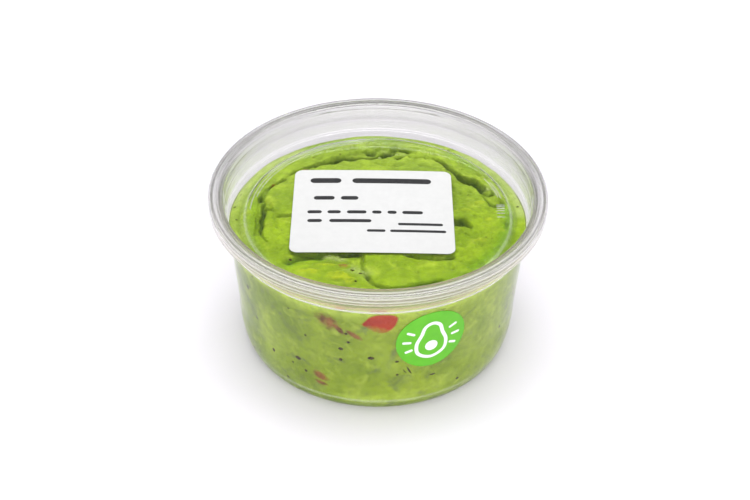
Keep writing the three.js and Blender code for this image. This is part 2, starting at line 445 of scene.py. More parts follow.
# Moulded sheet of the tub and the lid
plastic = {
    "tint": (0.860, 0.858, 0.852),
    "tanReflectionTint": (0.66, 0.56, 0.32),
    "paintedDarkTint": (0.36, 0.355, 0.33),
    "shadowTint": (0.95, 0.955, 0.955),
    "refraction": 1.50,
    "rough": (0.02, 0.07),
    "hazeScale": 90.0,
    "rippleScale": 160.0,
    "rippleDepth": 0.0001,
    "rippleStrength": 0.12,
    "paintedHighlights": (0.55, 0.45),  # mean strength of the painted highlight lines, and how much more of it in front
    "behindLoss": 0.55,  # share of the painted dark lines that is lost behind
}


# Clear plastic: it bends and mirrors what the eye sees and lets lamp light straight through. Where the
# moulded sheet is cloudy, part of the light is scattered instead; the same value carries painted highlights,
# and painted dark lines and a painted tan reflection tint its colour.
def makeClearPlastic():
    material, tree, place = newMaterial("clearPlastic")
    ripple = {
        "Height": addNoise(tree, place, plastic["rippleScale"], 2.0),
        "Strength": plastic["rippleStrength"],
        "Distance": plastic["rippleDepth"],
    }
    tint = mixColour(tree, readValue(tree, "warm"), plastic["tint"], plastic["tanReflectionTint"])
    shader = addNode(tree, "BsdfPrincipled", {
        "Base Color": mixColour(tree, readValue(tree, "dim"), tint, plastic["paintedDarkTint"]),
        "Roughness": toSpan(tree, addNoise(tree, place, plastic["hazeScale"]), plastic["rough"]),
        "IOR": plastic["refraction"],
        "Transmission Weight": toSpan(tree, readValue(tree, "milky"), (1.0, 0.0)),
        "Normal": addNode(tree, "Bump", ripple).outputs["Normal"],
    })
    through = addNode(tree, "BsdfTransparent", {"Color": (*plastic["shadowTint"], 1)})
    path = addNode(tree, "LightPath")
    mix = addNode(tree, "MixShader", {"Fac": path.outputs["Is Shadow Ray"]})
    tree.links.new(shader.outputs[0], mix.inputs[1])
    tree.links.new(through.outputs[0], mix.inputs[2])
    finishMaterial(tree, mix)
    return material


# Tub, middle line of its wall, from the raised centre of the base out to the turned-down flange
tub = {
    "wall": 0.6,
    "pushUpRadius": 33.0,
    "pushUpHeight": 1.2,
    "pushUpSlope": 2.5,
    "footRadius": 45.0,
    "heelRadius": 50.0,
    "heelHeight": 17.5,
    "shoulderRadius": 52.95,
    "shoulderHeight": 48.0,
    "ledgeRadius": 55.1,
    "ledgeHeight": 50.1,
    "neckRadius": 56.3,
    "neckBevel": 0.9,
    "flangeDrop": 1.9,
    "rounding": (1.2, 1.2, 1.0, 1.2, 0.8, 0.8, 0.35),  # radii of the corners, from the base to the flange
    "heelSteps": 19,
    "coarseStep": 2.0,  # the outside is cut finer from just under the shoulder
    "fineStep": 0.3,
    "milkyFrom": (50.0, 51.6),
    "milky": (0.02, 0.015),  # mean, and how much more of it in front as painted sheen
    # painted highlights as fine lines round the outside: height, half width, strength
    "paintedHighlightLines": [(5.0, 0.4, 0.20), (49.6, 0.8, 0.65), (51.6, 0.9, 0.20)],
    # painted tan reflection of what is seen through the neck, in front: height, half width, strength
    "tanReflectionLines": [(51.8, 1.2, 0.9)],
}


# Outside line of the tub: straight stretches rounded at their corners, and an ellipse for the heel
def tubOutside():
    t = tub
    under = sizes["flangeTop"] - t["wall"]
    rim = sizes["flangeRadius"] - t["wall"]
    angle = np.radians(np.linspace(-90, 0, t["heelSteps"]))
    heelR = t["footRadius"] + (t["heelRadius"] - t["footRadius"]) * np.cos(angle)
    heelZ = t["heelHeight"] * (1 + np.sin(angle))
    slope = t["pushUpSlope"] / 2
    centre, foot, shoulder, ledge, neck, bevel, flange = t["rounding"]
    return [
        (0, t["pushUpHeight"], 0),
        (t["pushUpRadius"] - slope, t["pushUpHeight"], centre),
        (t["pushUpRadius"] + slope, 0, foot),
        *[(r, z, 0) for r, z in zip(heelR, heelZ)],
        (t["shoulderRadius"], t["shoulderHeight"], shoulder),
        (t["ledgeRadius"], t["ledgeHeight"], ledge),
        (t["neckRadius"], under - t["neckBevel"], neck),
        (t["neckRadius"] + t["neckBevel"], under, bevel),
        (rim, under, flange),
        (rim, sizes["flangeTop"] - t["flangeDrop"]),
    ]


# Share of the way to the front, from -1 behind to 1 in front
def frontShare(grid):
    return -grid[..., 1] / np.maximum(np.hypot(grid[..., 0], grid[..., 1]), 1e-6)


# Fine lines across a coordinate: the sum of strength x exp(-(d / w)^2)
def lineMask(value, lines):
    return sum(strength * np.exp(-(((value - place) / width) ** 2)) for place, width, strength in lines)


# Sheet turned round the axis: a rounded line cut coarsely up to a height and finely above it, its middle
# line half a wall to one side (1 left, -1 right), and the two faces half a wall to each side of that
def turnedSheet(sheet, corners, fineAbove, side):
    line = roundedLine(corners)
    turning = np.argmax(line[:, 1] > fineAbove)
    coarse = cutLine(line[: turning + 1], sheet["coarseStep"])[:-1]
    fine = cutLine(line[turning:], sheet["fineStep"])
    middleLine = offsetLine(np.concatenate([coarse, fine]), side * sheet["wall"] / 2)
    middleLine[0, 0] = 0
    return turnedGrid(sheetProfile(middleLine, sheet["wall"]), sizes["around"])


# Painted highlights: cloudiness of fine lines round a sheet, stronger in front
def paintedHighlights(front, value, lines):
    mean, more = plastic["paintedHighlights"]
    return (mean + more * front) * lineMask(value, lines)


# Tub: its outside line made a sheet and turned, with painted highlights and a painted tan reflection along a
# few heights
def makeTub(material):
    grid = turnedSheet(tub, tubOutside(), tub["shoulderHeight"] - 1, 1)
    front, height = frontShare(grid), grid[..., 2]
    outer = np.hypot(grid[..., 0], grid[..., 1]) > tub["footRadius"]
    values = {
        "milky": (tub["milky"][0] + tub["milky"][1] * front) * smoothStep(height, *tub["milkyFrom"]),
        "dim": 0 * height,
        "warm": outer * np.clip(front, 0, 1) * lineMask(height, tub["tanReflectionLines"]),
    }
    values["milky"] += outer * paintedHighlights(front, height, tub["paintedHighlightLines"])
    addPiece("tub_shell", [wrappedPart(grid, values)], material, "tub")


# Lid: panel in the middle, recess wall with a sealing band, flat rim and skirt
lid = {
    "wall": 0.4,
    "recessTopRadius": 54.6,
    "recessFootRadius": 53.7,
    "sealTop": 57.6,
    "sealFoot": 55.0,
    "sealBulge": 0.15,
    "sealSlope": 0.4,
    "panelHeight": 51.0,
    "panelRadius": 46.8,
    "panelStep": 0.6,
    "panelSlope": 0.9,
    "cornerFillet": 1.3,
    "innerFillet": 1.4,
    "outerFillet": 1.05,
    "skirtHeight": 4.6,
    "skirtBevel": 0.7,
    "rounding": (0.6, 0.5, 0.4),  # radii of the corners of the panel's step, the sealing band and the skirt
    "coarseStep": 2.0,  # the top is cut finer from just under the band's upper end
    "fineStep": 0.2,
    "milkyFrom": (55.0, 56.4),
    "milky": (0.03, 0.02),
    "paintedRingHighlight": 0.11,
    # painted highlight lines, painted dark lines and painted tan reflection lines round the rim, placed by
    # the radius plus the drop under the top: place, half width, strength
    "paintedHighlightLines": [(55.6, 0.9, 0.18), (57.7, 0.55, 0.30), (59.2, 0.25, 0.26), (60.9, 0.22, 0.36),
                   (62.4, 0.25, 0.32), (63.6, 0.25, 0.34)],
    "paintedDarkLines": [(55.1, 0.32, 0.85), (56.9, 0.20, 0.45), (58.6, 0.16, 0.35), (59.6, 0.2, 0.35),
                 (60.4, 0.16, 0.3), (61.7, 0.3, 0.22), (63.0, 0.2, 0.30), (64.4, 0.3, 0.35)],
    "tanReflectionLines": [(55.8, 0.9, 0.7), (58, 8, 0.14), (61.7, 0.6, 0.35), (63.2, 0.5, 0.45), (64.6, 0.6, 0.5)],
    # painted dark lines at the left and right alone, on the rim by place and on the recess wall by height,
    # and behind
    "paintedSideDarkLines": [(55.95, 0.30, 1.2), (57.3, 0.2, 0.35), (58.7, 0.28, 0.9)],
    "paintedWallDarkLines": [(57.95, 0.42, 1.1), (56.6, 0.3, 0.6)],
    "paintedBackDarkLines": [(55.4, 0.3, 0.45)],
    # fine moulded marks on the panel: two points each, x and y
    "ticks": [((42.4, height), (45.0, height)) for height in (5.9, 5.0, 3.9, 2.6, 1.0, -1.2)],
    "tickWidth": 0.32,
    "tickHeight": 0.05,
    # fine arcs on the panel: radius, first and last angle
    "arcs": [(44.3, 14, 30), (45.1, 13, 26), (44.3, 98, 168), (45.4, 92, 178), (46.2, 96, 150)],
    "arcWidth": 0.24,
    "markHaze": 0.3,
    "markSink": 0.01,
}


# Radius of the recess wall at a height, on the straight line from its foot to its top
def recessRadius(height):
    top = sizes["totalHeight"] - lid["innerFillet"]
    rise = (height - lid["panelHeight"]) / (top - lid["panelHeight"])
    return lid["recessFootRadius"] + (lid["recessTopRadius"] - lid["recessFootRadius"]) * rise


# Top line of the lid: panel, lower band, recess wall with its sealing band, rim and skirt
def lidTop():
    t = lid
    top = sizes["totalHeight"]
    band = t["panelHeight"] - t["panelStep"]
    foot, head, slope = t["sealFoot"], t["sealTop"], t["sealSlope"]
    step, seal, skirt = t["rounding"]
    return [
        (0, t["panelHeight"], 0),
        (t["panelRadius"], t["panelHeight"], step),
        (t["panelRadius"] + t["panelSlope"], band, step),
        (recessRadius(band), band, t["cornerFillet"]),
        (recessRadius(foot - slope), foot - slope, seal),
        (recessRadius(foot + slope) + t["sealBulge"], foot + slope, seal),
        (recessRadius(head - slope) + t["sealBulge"], head - slope, seal),
        (recessRadius(head + slope), head + slope, seal),
        (recessRadius(top), top, t["innerFillet"]),
        (sizes["lidRadius"], top, t["outerFillet"]),
        (sizes["lidRadius"], top - t["skirtHeight"] + t["skirtBevel"], skirt),
        (sizes["lidRadius"] - t["skirtBevel"], top - t["skirtHeight"]),
    ]


# Lid: its top line made a sheet and turned, with a painted highlight round the panel's ring. Painted
# highlight and dark lines follow the rim by radius plus drop; the painted dark ones on the rim and the
# recess wall are stronger at the two sides, by (1 - front^2)^2, or behind
def makeLid(material):
    grid = turnedSheet(lid, lidTop(), lid["sealTop"] - 1, -1)
    radius = np.hypot(grid[..., 0], grid[..., 1])
    ring = lid["panelRadius"] + lid["panelSlope"] / 2
    front = frontShare(grid)
    place = radius + sizes["totalHeight"] - grid[..., 2]
    onRim = radius > lid["recessTopRadius"]
    onWall = (radius > lid["recessFootRadius"] - lid["wall"]) & ~onRim
    sides, behind = (1 - front**2) ** 2, np.clip(-front, 0, 1)
    dim = lineMask(place, lid["paintedDarkLines"]) * (1 - plastic["behindLoss"] * behind)
    values = {
        "milky": (lid["milky"][0] + lid["milky"][1] * front) * smoothStep(radius, *lid["milkyFrom"]),
        "dim": onRim * (dim + sides * lineMask(place, lid["paintedSideDarkLines"])),
        "warm": onRim * np.clip(front, 0, 1) * lineMask(place, lid["tanReflectionLines"]),
    }
    values["milky"] += lid["paintedRingHighlight"] * np.exp(-(((radius - ring) / lid["panelSlope"] * 2) ** 2))
    values["milky"] += onRim * paintedHighlights(front, place, lid["paintedHighlightLines"])
    values["dim"] += onWall * sides * lineMask(grid[..., 2], lid["paintedWallDarkLines"])
    values["dim"] += onWall * behind * lineMask(grid[..., 2], lid["paintedBackDarkLines"])
    addPiece("lid_shell", [wrappedPart(grid, values)], material, "lid")


# Moulded marks: strokes laid on the panel, a little cloudy
def makeLidMarks(material):
    paths = [(np.linspace(*tick, 4), lid["tickWidth"]) for tick in lid["ticks"]]
    for radius, first, last in lid["arcs"]:
        angle = np.radians(np.arange(first, last + 1, 1.0))
        paths.append((radius * np.stack([np.cos(angle), np.sin(angle)], 1), lid["arcWidth"]))
    parts = []
    for path, width in paths:
        grid = strokeGrid(path, width, lid["tickHeight"])
        grid[..., 2] += lid["panelHeight"] - lid["markSink"]
        level = np.ones(grid.shape[:2])
        values = {"milky": lid["markHaze"] * level, "dim": 0 * level, "warm": 0 * level}
        parts.append(wrappedPart(grid, values))
    addPiece("lid_marks", parts, material)


# Guacamole, in millimetres. The top is built of folds laid one on the other, lowest first: an outline
# seen from above, its level, how far in its edge rises, the edge's steepness (0.5 a quarter round, 1 a
# slow slope), how torn the outline is, and the depth of the ditch just outside it.
guacamole = {
    "intoWall": 0.2,
    "edgeLevel": 47.9,
    "edgeWobble": 0.25,
    "edgeNoise": (7.0, 91),  # cell and seed
    "edgeWidth": 2.0,
    "shelfLevel": 48.9,
    "ringLevel": 48.3,
    "rollLevel": 49.7,
    "rollRadii": (45.5, 49.3),
    "creaseRadius": 49.3,
    "creaseDepth": 0.3,
    "creaseWidth": 0.6,
    "streakDepth": 0.12,  # fine streaks along the roll
    "streakRadii": (40, 43),
    "streakRing": 46,  # radius where lengths along the roll are measured
    "streakNoise": ((1.0, 9, 1.1, 71), (0.6, 6, 0.6, 72)),  # share, stretch along the ring, cell, seed
    "underPanel": 50.52,
    "underBand": 49.92,
    "panelEdge": (46.2, 47.8),
    "lidSoftness": 0.10,
    # noises: cell, octaves and seed
    "tearNoise": ((4.0, 4, 11), (4.0, 4, 31)),
    "shelfNoise": (5.0, 4, 41),
    "mashNoise": ((3.2, 4, 81), (1.3, 2, 85)),
    "shelfRough": 0.45,
    "mashRough": (0.26, 0.20),
    "foldDrift": 0.25,
    "foldNoise": (9.0, 61),  # cell and seed
    "craterRim": 1.1,
    "lumpEdge": (0.5, 1.2),  # shares of a lump where it starts to fall and is gone
    "tears": {"clefts": 0.5, "crater": 0.3, "furrows": 0.4, "pocket": 0.3, "lumps": 0.25, "smears": 0.5},
    "innerRings": 16,
    "innerRadius": 24.0,
    "rings": 128,
    "around": 480,
    "rowStep": 2.6,
    # inner edge of the roll by the wall
    "crater": [
        (-42.7, 8.7), (-41.8, 12.4), (-40.5, 14.9), (-38.4, 17.4), (-36.4, 19.9), (-34.3, 22.5),
        (-32.2, 25.0), (-30.1, 27.0), (-26.9, 29.3), (-23.3, 32.2), (-19.7, 34.2), (-16.0, 35.9),
        (-12.4, 37.3), (-8.7, 38.6), (-5.0, 39.7), (-1.3, 40.8), (2.4, 41.6), (6.1, 42.6), (9.8, 43.0),
        (13.5, 41.7), (17.2, 39.6), (20.1, 37.4), (23.0, 35.2), (25.9, 31.4), (28.0, 28.3),
        (30.5, 25.2), (33.4, 24.0), (35.6, 22.8), (37.3, 20.0), (39.1, 18.5), (41.1, 16.1),
        (43.2, 12.4), (45.2, 8.8), (46.7, 4.0), (47.2, -2.5), (46.1, -10.2), (43.7, -17.7), (38, -28),
        (30, -36), (20, -42), (8, -46), (-6, -46), (-20, -42), (-32, -34), (-39, -26), (-42.6, -16),
        (-43.0, -10.5), (-43.0, -5.8), (-43.0, 0), (-43.0, 5),
    ],
    "folds": [
        # rough shelf behind the big fold
        ([(-9, 33), (2, 32), (26, 31), (25, 36.5), (21, 38.5), (15, 41.0), (9, 41.4), (3, 40.2),
          (-3, 38.2)],
         49.3, 2.2, 0.7, 0.9, 0.0),
        # right fold, sloping slowly down to its crevice and open towards the front
        ([(24, 32.5), (26.0, 30.6), (28.2, 27.4), (30.8, 24.2), (33.6, 21.4), (36.6, 19.0), (38.0, 16),
          (39.6, 12.6), (41.6, 9.0), (45.0, 7.2), (50, 7), (54, 0), (53, -12), (48, -24), (40, -34),
          (30, -42), (14, -50), (0, -46), (0, 10)],
         50.1, 5.5, 1.0, 0.3, 0.0),
        # left fold, with a groove at its left
        ([(-41.0, 9.5), (-40.6, 12.4), (-39.4, 14.7), (-37.4, 17.2), (-35.5, 19.6), (-33.4, 22.0),
          (-31.3, 24.4), (-29.0, 26.2), (-25.4, 28.2), (-22, 30.0), (0, 30), (2, -50), (-14, -52),
          (-30, -46), (-44, -32), (-50, -22), (-46, -14), (-41.6, -12.0), (-40.4, -9), (-40.6, -4),
          (-40.2, 0), (-40.2, 5)],
         50.0, 1.4, 0.5, 0.35, 0.0),
        # its upper sheet, with a free front edge
        ([(-39.6, 7.4), (-38.5, 3.6), (-37.4, 1.4), (-35.2, -0.6), (-31, -0.7), (-22, -0.8), (-22, 17),
          (-35, 18), (-39.6, 13)],
         50.35, 1.2, 0.5, 0.2, 0.0),
        # back fold with a torn rim
        ([(-20.5, 30.4), (-17.6, 31.2), (-15.9, 31.6), (-13.8, 33.1), (-11.9, 34.1), (-9.7, 34.2),
          (-8.3, 33.9), (-6.1, 34.6), (-3.1, 34.6), (-0.5, 34.5), (2.4, 34.7), (5.0, 34.5), (7.9, 35.2),
          (9.4, 36.2), (10.1, 37.6), (11.2, 36.2), (13.1, 35.6), (15.3, 35.8), (16.4, 36.3),
          (17.9, 35.1), (19.7, 34.5), (22.6, 32.6), (24.4, 30.0), (24.5, 27), (24, 0), (-22, 0),
          (-24, 24)],
         50.4, 1.2, 0.5, 0.4, 0.5),
        # low lumpy patch at the front left
        ([(-33, -24), (-29, -21), (-4, -20), (-2.5, -33), (0, -50), (-16, -50), (-32, -36)],
         49.7, 2.4, 1.0, 0.6, 0.0),
        # smooth front tongue
        ([(-4.8, -18), (-4.9, -24.6), (-5.1, -27.6), (-4.2, -32.1), (-3.0, -35.8), (-1.8, -38.7),
          (-0.2, -40.6), (2.6, -41.6), (6.4, -41.5), (10.0, -40.8), (13.5, -39.5), (17.4, -38.3),
          (22, -36.8), (27, -34), (30, -30), (29, -26.5), (24.1, -25.6), (19.6, -26.1), (14.7, -26.2),
          (12.3, -25.3), (10.0, -24.6), (8, -22), (4, -17)],
         50.45, 2.0, 0.6, 0.3, 0.0),
    ],
    "ditchWidth": 1.1,
    # deep clefts that end at the roll's inner edge: path, half width, depth
    "clefts": [
        ([(25.9, 31.2), (28.1, 27.8), (30.6, 24.6)], 1.3, 1.2),
        ([(30.2, 25.2), (33.2, 22.2), (35.4, 20.6), (37.3, 18.6)], 1.7, 3.2),
        ([(-15.6, 34.3), (-13.4, 34.8), (-11.0, 34.8)], 1.2, 3.4),
        ([(-20.6, 32.4), (-18.6, 33.2), (-16.8, 33.6)], 0.9, 2.6),
        ([(-25.0, 30.2), (-21.4, 31.9)], 0.7, 1.6),
        ([(-11.6, 35.2), (-8.6, 35.9), (-5.6, 36.6), (-2.4, 37.2), (0.6, 38.2), (3.6, 39.4)], 0.75, 1.6),
        ([(1.3, 37.7), (3.1, 38.7), (5.0, 39.7)], 1.0, 2.4),
        ([(-4.6, 39.2), (-2.1, 39.5)], 0.7, 1.2),
        ([(4.6, 41.4), (7.9, 42.0), (10.9, 41.8)], 0.7, 1.6),
        ([(6.5, 36.7), (9.4, 37.0)], 0.5, 1.4),
        ([(20.8, 35.3), (22.6, 34.4), (24.8, 32.6)], 0.7, 1.6),
        ([(37.0, 17.2), (37.5, 15.5), (38.9, 14.7), (40.7, 14.8), (41.8, 15.2)], 0.7, 2.0),
        ([(38.1, 12.6), (39.5, 9.9), (41.2, 7.6), (43.0, 7.6)], 0.8, 1.3),
        ([(-31.6, 24.8), (-29.6, 26.2)], 0.6, 1.2),
        ([(-35.8, 20.0), (-34.4, 21.2)], 0.6, 1.2),
        ([(-38.9, 16.3), (-37.8, 17.6), (-36.5, 18.9)], 0.5, 1.2),
        ([(-42.2, 11.4), (-42.0, 9.6), (-41.9, 8.2)], 0.6, 1.4),
        ([(-41.4, 5.7), (-41.2, 1.9), (-41.4, -2.3)], 0.7, 1.5),
        ([(-41.4, -2.3), (-41.5, -5.9), (-41.3, -8.8), (-40.5, -12.1), (-38.9, -15.6)], 0.5, 0.8),
    ],
    # furrows and, with a depth below 0, ridges: path, half width, depth
    "furrows": [
        ([(-30.8, -27.0), (-28.2, -25.2), (-24.4, -24.3), (-19.8, -23.9)], 1.6, 1.5),
        ([(-12.2, -23.0), (-7.0, -22.6)], 1.2, 1.3),
        ([(11.3, -22.9), (14.0, -23.8), (18.2, -24.4), (23.4, -24.2), (26.0, -23.4)], 1.0, 1.8),
        ([(9.9, -25.9), (11.9, -26.1), (14.7, -27.1), (17.5, -26.3), (20.2, -26), (23.3, -25.3)], 0.4, 0.5),
        ([(24.9, -27.8), (26.3, -30.8)], 0.9, 0.8),
        # under the left and the front edge of the tongue
        ([(-4.8, -24), (-5.0, -27.6), (-4.2, -31.8), (-3.2, -35.4)], 0.6, 0.8),
        ([(-3.2, -35.4), (-2.0, -38.4), (-0.2, -40.4), (2.6, -41.4), (6.4, -41.4)], 0.6, 1.4),
        ([(6.4, -41.4), (10, -40.8), (13.5, -39.7), (17.4, -38.6), (22, -37.0)], 0.7, 1.3),
        ([(-35.9, -1.4), (-34.0, -1.0), (-30.4, -0.9)], 0.45, 1.1),
        ([(-39.8, 2.6), (-38.1, 2.8)], 0.6, 1.5),
        ([(-38.9, 6.6), (-38.5, 4.0)], 0.9, 0.7),
        ([(-37.9, 6.2), (-37.0, 3.2), (-34.8, 0.7), (-30.9, 0.6)], 0.7, -0.3),
        ([(-37.9, -0.1), (-37.9, -3.7), (-36.1, -8.4), (-33.5, -11.8), (-30.6, -14.1)], 0.8, -0.35),
        ([(-36.9, -0.8), (-36.8, -3.6), (-35.2, -7.6)], 0.7, 0.45),
        ([(34.3, 0.4), (35.2, 0.0), (36.4, -0.4)], 0.4, 0.8),
        ([(31.0, -10.4), (32.4, -11.0)], 0.5, 0.6),
        ([(44.6, -3.4), (45.0, -3.7)], 0.4, 0.8),
        ([(45.7, -3.7), (45.9, -7.2)], 0.7, 0.8),
        ([(42.8, -8.3), (44.6, -8.5)], 0.9, -0.5),
        ([(-24, -27.6), (-17, -27.0), (-10, -27.4)], 0.8, 0.6),
        ([(-1.0, 31.6), (5, 30.4), (9, 31.4)], 0.7, 0.6),
        ([(15.0, 30.8), (19, 29.8)], 0.7, 0.5),
    ],
    # hole right of the middle: outline, depth, width of its slope
    "pocket": ([(20, 0.6), (25.6, -0.4), (27.4, -0.8), (29.2, 0.1), (30.6, -0.2), (32.0, -1.6), (33.0, -3.4),
                (34.2, -5.6), (33.6, -7.2), (30.8, -6.6), (27.2, -6.1), (20, -5.4)], 3.4, 2.0),
    # soft lumps of avocado: x, y, half width, half depth, height
    "lumps": [
        (-23.7, -32.6, 4.4, 1.9, 0.45), (-14.1, -34.6, 4.4, 2.5, 0.55), (-9.6, -37.0, 2.6, 1.6, 0.4),
        (-17.5, -28.6, 3.4, 1.3, 0.3), (-38.0, 5.2, 1.4, 1.4, 0.15), (31.0, 3.6, 2.4, 1.2, 0.3),
        (27.8, 3.2, 1.4, 0.9, 0.2), (43.8, -8.4, 1.5, 1.2, 0.2), (10.4, 36.0, 1.6, 1.0, 0.2),
        (36.6, 8.6, 1.8, 1.2, 0.25), (39.6, -2.0, 2.2, 1.5, 0.25), (36.0, -14.0, 2.6, 1.6, 0.2),
    ],
    # smears of a paler tint, partly painted sheen: path, half width, strength
    "pale": [
        ([(-51.0, 9), (-49.9, 15.1), (-46.8, 24.5), (-41.6, 31.0), (-34.6, 37.5), (-29.1, 40.8)], 3.4, 1.0),
        ([(-51.0, 9), (-51.4, 0), (-50.0, -9), (-47.0, -17)], 3.0, 0.45),
        ([(-14.3, 42.8), (-3.2, 44.3), (8.0, 45.8), (19.1, 43.6), (24.6, 40.8)], 2.2, 0.25),
        ([(33.0, 41.5), (39.0, 35.6), (45.4, 27.3), (49.8, 17.9), (51.9, 5.8)], 3.8, 1.0),
        ([(39.0, 18.2), (41.6, 18.0), (43.6, 15.2)], 2.2, 0.6),
        ([(1.5, 40.6), (4.5, 39.0), (9.0, 38.6)], 1.3, 0.7),
        ([(-10.0, -30.4), (-6.6, -31.1), (-3.6, -33.0)], 2.0, 0.6),
        ([(-18, -24.2), (-12, -25.4)], 1.2, 0.9),
        ([(-6.0, 36.6), (0, 36.2)], 1.1, 0.45),
    ],
    # the same at the wall, by angle and height
    "paleAtWall": [
        ([(-52, 32), (-49, 20)], 6.0, 0.35), ([(-40, 42), (-36, 30), (-40, 17)], 8.0, 0.42),
        ([(-140, 28), (-138, 16)], 5.0, 0.55), ([(-101, 6.4), (-88, 5.4)], 3.0, 0.65),
        ([(-80, 7), (-74, 7.4)], 2.4, 0.65), ([(-90, 31), (-84, 22)], 2.6, 0.25),
        ([(-66, 10), (-58, 13)], 3.0, 0.35), ([(10, 20), (20, 34)], 6.0, 0.4),
        ([(70, 14), (84, 22)], 5.0, 0.4), ([(130, 30), (142, 38)], 5.0, 0.4),
        ([(-172, 12), (-164, 26)], 5.0, 0.4),
    ],
    "darkAtWall": [
        ([(-124, 36), (-106, 29)], 8.0, 0.10), ([(-134, 22), (-118, 17)], 5.0, 0.08),
        ([(-93, 14), (-84, 17)], 4.0, 0.08), ([(-40, 12), (-30, 16)], 4.0, 0.08),
        ([(40, 30), (54, 36)], 6.0, 0.10), ([(100, 14), (112, 18)], 5.0, 0.10),
        ([(-160, 38), (-150, 30)], 5.0, 0.10),
    ],
    "fresh": [
        ([(46.8, 6.2), (46.2, -0.4), (43.9, -13.4), (40.5, -20.3), (33.0, -29.0)], 2.6, 1.0),
        ([(-44.6, 6.0), (-44.6, -6.0), (-43.4, -14)], 1.6, 0.5),
        ([(-30.8, -28.6), (-28.2, -26.2), (-24.4, -25.0), (-18.8, -24.6)], 2.0, 1.0),
        ([(-29.1, 41.6), (-18.1, 47.0), (-7.0, 49.2), (6.1, 49.8)], 2.2, 0.5),
        ([(26.8, 39.6), (31.2, 35.6), (34.6, 31.2)], 2.4, 0.8),
        ([(30, -33), (20, -38), (8, -42)], 3.0, 0.5),
    ],
}


# How rough the top is: a mean, more at the right and at the back, less on the tongue, none by the wall
roughness = {
    "mean": 0.5,
    "right": (0.7, 22, 30),  # how much more, and where along x it starts and is full
    "back": (1.0, 32, 36),
    "backSides": (-30, -20),
    "tongue": (12, -31, 17, 9),  # middle and half widths
    "tongueLoss": 0.6,
    "tongueEdge": (-1.1, -0.8),
    "wallRadii": (46, 49),
}


# Roughness at a place: the sum of its parts, each faded in by a smoothstep
def roughnessAt(x, y):
    r = roughness
    backMore, backLow, backHigh = r["back"]
    rightMore, rightLow, rightHigh = r["right"]
    rough = r["mean"] + rightMore * smoothStep(x, rightLow, rightHigh)
    rough = rough + backMore * smoothStep(y, backLow, backHigh) * smoothStep(-np.abs(x), *r["backSides"])
    tongueX, tongueY, wide, deep = r["tongue"]
    onTongue = smoothStep(-np.hypot((x - tongueX) / wide, (y - tongueY) / deep), *r["tongueEdge"])
    return rough * (1 - r["tongueLoss"] * onTongue) * (1 - smoothStep(np.hypot(x, y), *r["wallRadii"]))


# Height of the guacamole's edge at the wall, wandering a little with the place round it
def edgeHeight(x, y):
    radius = np.maximum(np.hypot(x, y), 1e-6)
    noise = smoothNoise(x / radius * topEdge, y / radius * topEdge, *guacamole["edgeNoise"])
    return guacamole["edgeLevel"] + guacamole["edgeWobble"] * noise


# Height of the roll outside the crater: it falls to the ring by the wall, with a crease exp(-(d / w)^2) and
# streaks of noise stretched along the ring
def rollHeight(x, y):
    g = guacamole
    radius = np.hypot(x, y)
    height = g["rollLevel"] - (g["rollLevel"] - g["ringLevel"]) * smoothStep(radius, *g["rollRadii"])
    height -= g["creaseDepth"] * np.exp(-(((radius - g["creaseRadius"]) / g["creaseWidth"]) ** 2))
    along = np.arctan2(y, x) * g["streakRing"]
    streaks = 0
    for share, stretch, cell, seed in g["streakNoise"]:
        streaks = streaks + share * smoothNoise(radius, along / stretch, cell, seed)
    byEdge = smoothStep(radius, topEdge - g["edgeWidth"], topEdge)
    height += g["streakDepth"] * streaks * smoothStep(radius, *g["streakRadii"]) * (1 - byEdge)
    return height - (g["ringLevel"] - edgeHeight(x, y)) * byEdge


# Paths given as an angle and a height, with the angle unrolled to millimetres along the wall
def unrolled(path):
    path = np.array(path, float)
    return np.stack([np.radians(path[:, 0]) * sizes["wallRadius"], path[:, 1]], 1)


# Strength of painted smears: the most of strength x exp(-(d / w)^2) over their paths
def smearMask(x, y, smears):
    total = np.zeros(x.shape)
    for path, width, strength in smears:
        away = pathDistance(x, y, smoothPath(path, steps=3)) / width
        total = np.maximum(total, strength * np.exp(-away * away))
    return total


# Depth of furrows: the sum of depth x exp(-(d / w)^2) over their paths
def furrowDepth(x, y, furrows):
    total = np.zeros(x.shape)
    for path, width, depth in furrows:
        away = pathDistance(x, y, smoothPath(path, steps=3)) / width
        total += depth * np.exp(-away * away)
    return total


